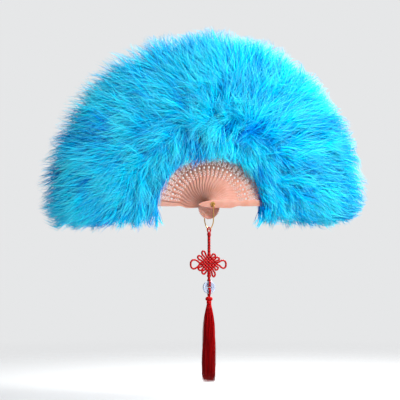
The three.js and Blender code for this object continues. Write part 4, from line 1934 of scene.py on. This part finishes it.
    def skirt(self) -> bpy.types.Object:
        """Hangs the threads of the tassel, which spread a little and end unevenly.

        Returns:
            The skirt.
        """
        rng = np.random.default_rng((SEED, 41))
        low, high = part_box("tassel_skirt")
        count, stations = self.thread_count, 10
        share = np.linspace(0, 1, stations) ** 1.25
        spread = np.interp(share, *zip(*self.skirt_halves)) * MM
        rank = np.sqrt((np.arange(count) + 0.5) / count)
        turns = np.arange(count) * math.pi * (3 - math.sqrt(5)) + rng.normal(0, 0.1, count)
        clump = 1 + self.clump_share * np.sin(self.clumps * turns + 1.0) * share[:, None]
        length = np.clip(1 - np.abs(rng.normal(0, self.uneven_ends, count)), self.shortest, 1.0)
        length[rng.uniform(size=count) < self.short_share] *= self.short_length
        waver = rng.normal(0, self.waver_mm, (2, count, 1)) * MM
        strays = np.where(rng.uniform(size=count) < self.stray_share, self.stray, 0)
        strayed = strays[:, None] * rng.normal(0, 1, (2, count, 1))
        radius = rank[:, None] * spread * clump.T
        swing = np.sin(share * math.pi * 2)
        heights = high.z + self.skirt_tuck - (high.z - low.z) * length[:, None] * share
        lines = about_z(radius, turns[:, None], heights)
        lines[..., :2] += np.moveaxis(waver * swing + strayed * share ** 3, 0, -1)
        radii = np.full((count, stations), self.thread_half)
        radii[:, -2] *= 0.9
        radii[:, -1] = 0
        tones = np.clip(rng.normal(0.45, 0.2, count), 0, 1)
        return Strands(lines, radii, tones).object("skirt", rng)


@dataclass(frozen=True)
class Lamp:
    """A square soft lamp that faces the fan: its place, the length of its side and its watts."""

    name: str
    place: tuple[float, float, float]
    size: float
    power: float


@dataclass
class Studio:
    """The pale floor, the soft light and the camera."""

    lamps: tuple[Lamp, ...] = (Lamp("key", (0.59, -0.7, 0.72), 0.24, 23.0),
                               Lamp("fill", (-0.7, -1.7, 0.5), 0.8, 1.8),
                               Lamp("back", (0.59, 0.7, 0.72), 0.24, 22.0))
    light_colour: str = "#F4F6FA"
    light_strength: float = 0.22
    surround_colour: str = "#E6E7E8"
    floor_colour: str = "#D6D7D8"
    floor_roughness: float = 0.9
    floor_drop: float = 48 * MM
    floor_reach: float = 1.6
    floor_whole: float = 0.25
    floor_gone: float = 0.95
    camera_far: float = 3.0
    camera_clip: float = 100.0
    yaw_deg: float = -21.0
    raise_deg: float = 0.6
    pixels: float = 400.0
    pivot_pixel: tuple[float, float] = (209.0, 204.0)
    pixel: float = 1.40 * MM
    sensor: float = 36 * MM

    def build(self) -> None:
        """Builds the floor, the lamps, the world and the camera."""
        self.add_camera()
        self.add_floor()
        self.add_world()
        for lamp in self.lamps:
            self.add_lamp(lamp)
        bpy.context.scene.view_settings.view_transform = "Standard"

    def add_camera(self) -> None:
        """Places the camera at the photograph's angle, with the pivot at the photograph's place."""
        yaw, rise = math.radians(self.yaw_deg), math.radians(self.raise_deg)
        back = Vector((math.sin(yaw) * math.cos(rise), -math.cos(yaw) * math.cos(rise), math.sin(rise)))
        turn = (-back).to_track_quat("-Z", "Y")
        right = turn @ Vector((1, 0, 0))
        up = turn @ Vector((0, 1, 0))
        half = self.pixels / 2
        away_right = (self.pivot_pixel[0] - half) * self.pixel
        away_down = (self.pivot_pixel[1] - half) * self.pixel
        camera = bpy.data.cameras.new("camera")
        holder = bpy.data.objects.new("camera", camera)
        bpy.context.scene.collection.objects.link(holder)
        holder.rotation_mode = "QUATERNION"
        holder.rotation_quaternion = turn
        holder.location = back * self.camera_far - right * away_right + up * away_down
        camera.sensor_width = self.sensor / MM
        camera.lens = self.sensor / MM * self.camera_far / (self.pixels * self.pixel)
        camera.clip_end = self.camera_clip
        bpy.context.scene.camera = holder

    def add_floor(self) -> None:
        """Lays a round floor under the pendant that fades into the pale surround."""
        bottom = CAD_BOX[0].z - self.floor_drop
        bpy.ops.mesh.primitive_circle_add(vertices=64, radius=self.floor_reach, fill_type="NGON",
                                          location=(0, 0, bottom))
        floor = bpy.context.object
        floor.name = "floor"
        bpy.ops.object.transform_apply()
        made, shader = bare_material("pale_floor", Base_Color=colour_of(self.floor_colour),
                                     Roughness=self.floor_roughness)
        tree = made.node_tree
        place = add_node(tree, "ShaderNodeTexCoord").outputs["Object"]
        flat = add_node(tree, "ShaderNodeVectorMath", {"operation": "MULTIPLY", 1: (1, 1, 0)},
                        {0: place})
        away = add_node(tree, "ShaderNodeVectorMath", {"operation": "LENGTH"},
                        {0: flat.outputs[0]})
        fade = add_node(tree, "ShaderNodeMapRange",
                        {"From Min": self.floor_whole, "From Max": self.floor_gone * self.floor_reach,
                         "interpolation_type": "SMOOTHSTEP"},
                        {"Value": away.outputs["Value"]})
        clear = add_node(tree, "ShaderNodeBsdfTransparent")
        mixed = add_node(tree, "ShaderNodeMixShader",
                         links={0: fade.outputs["Result"], 1: shader.outputs[0],
                                2: clear.outputs[0]})
        tree.links.new(mixed.outputs[0], tree.nodes["Material Output"].inputs["Surface"])
        floor.data.materials.append(made)

    def add_world(self) -> None:
        """Sets a soft even light, with a paler surround where it is seen or mirrored."""
        world = bpy.data.worlds.new("studio")
        bpy.context.scene.world = world
        world.use_nodes = True
        tree = world.node_tree
        light = tree.nodes["Background"]
        light.inputs["Color"].default_value = colour_of(self.light_colour)
        light.inputs["Strength"].default_value = self.light_strength
        surround = add_node(tree, "ShaderNodeBackground",
                            {"Color": colour_of(self.surround_colour), "Strength": 1.0})
        rays = add_node(tree, "ShaderNodeLightPath")
        seen = add_node(tree, "ShaderNodeMath", {"operation": "MAXIMUM"},
                        {0: rays.outputs["Is Camera Ray"], 1: rays.outputs["Is Glossy Ray"]})
        shown = add_node(tree, "ShaderNodeMath", {"operation": "MAXIMUM"},
                         {0: seen.outputs[0], 1: rays.outputs["Is Transmission Ray"]})
        mixed = add_node(tree, "ShaderNodeMixShader",
                         links={0: shown.outputs[0], 1: light.outputs[0], 2: surround.outputs[0]})
        tree.links.new(mixed.outputs[0], tree.nodes["World Output"].inputs["Surface"])

    def add_lamp(self, lamp: Lamp) -> None:
        """Hangs a lamp.

        Args:
            lamp: What it is and where it hangs.
        """
        light = bpy.data.lights.new(lamp.name, "AREA")
        light.size = lamp.size
        light.energy = lamp.power
        holder = bpy.data.objects.new(lamp.name, light)
        bpy.context.scene.collection.objects.link(holder)
        holder.location = lamp.place
        holder.rotation_mode = "QUATERNION"
        holder.rotation_quaternion = (-Vector(lamp.place)).to_track_quat("-Z", "Y")


def main() -> None:
    """Builds the studio and the fan in order, with a log of each piece's faces."""
    logging.basicConfig(level=logging.INFO, format="%(name)s: %(message)s")
    Studio().build()
    fan = Fan()
    Pendant(RayonCord()).build()
    RingAndTassel(RayonCord(), RayonThread(), WhiteJade()).build()
    Pivot(DrawnBrass()).build()
    Sticks(fan, MouldedPolystyrene()).build()
    Fluff(fan, MarabouDown()).build()


if __name__ == "__main__":
    main()
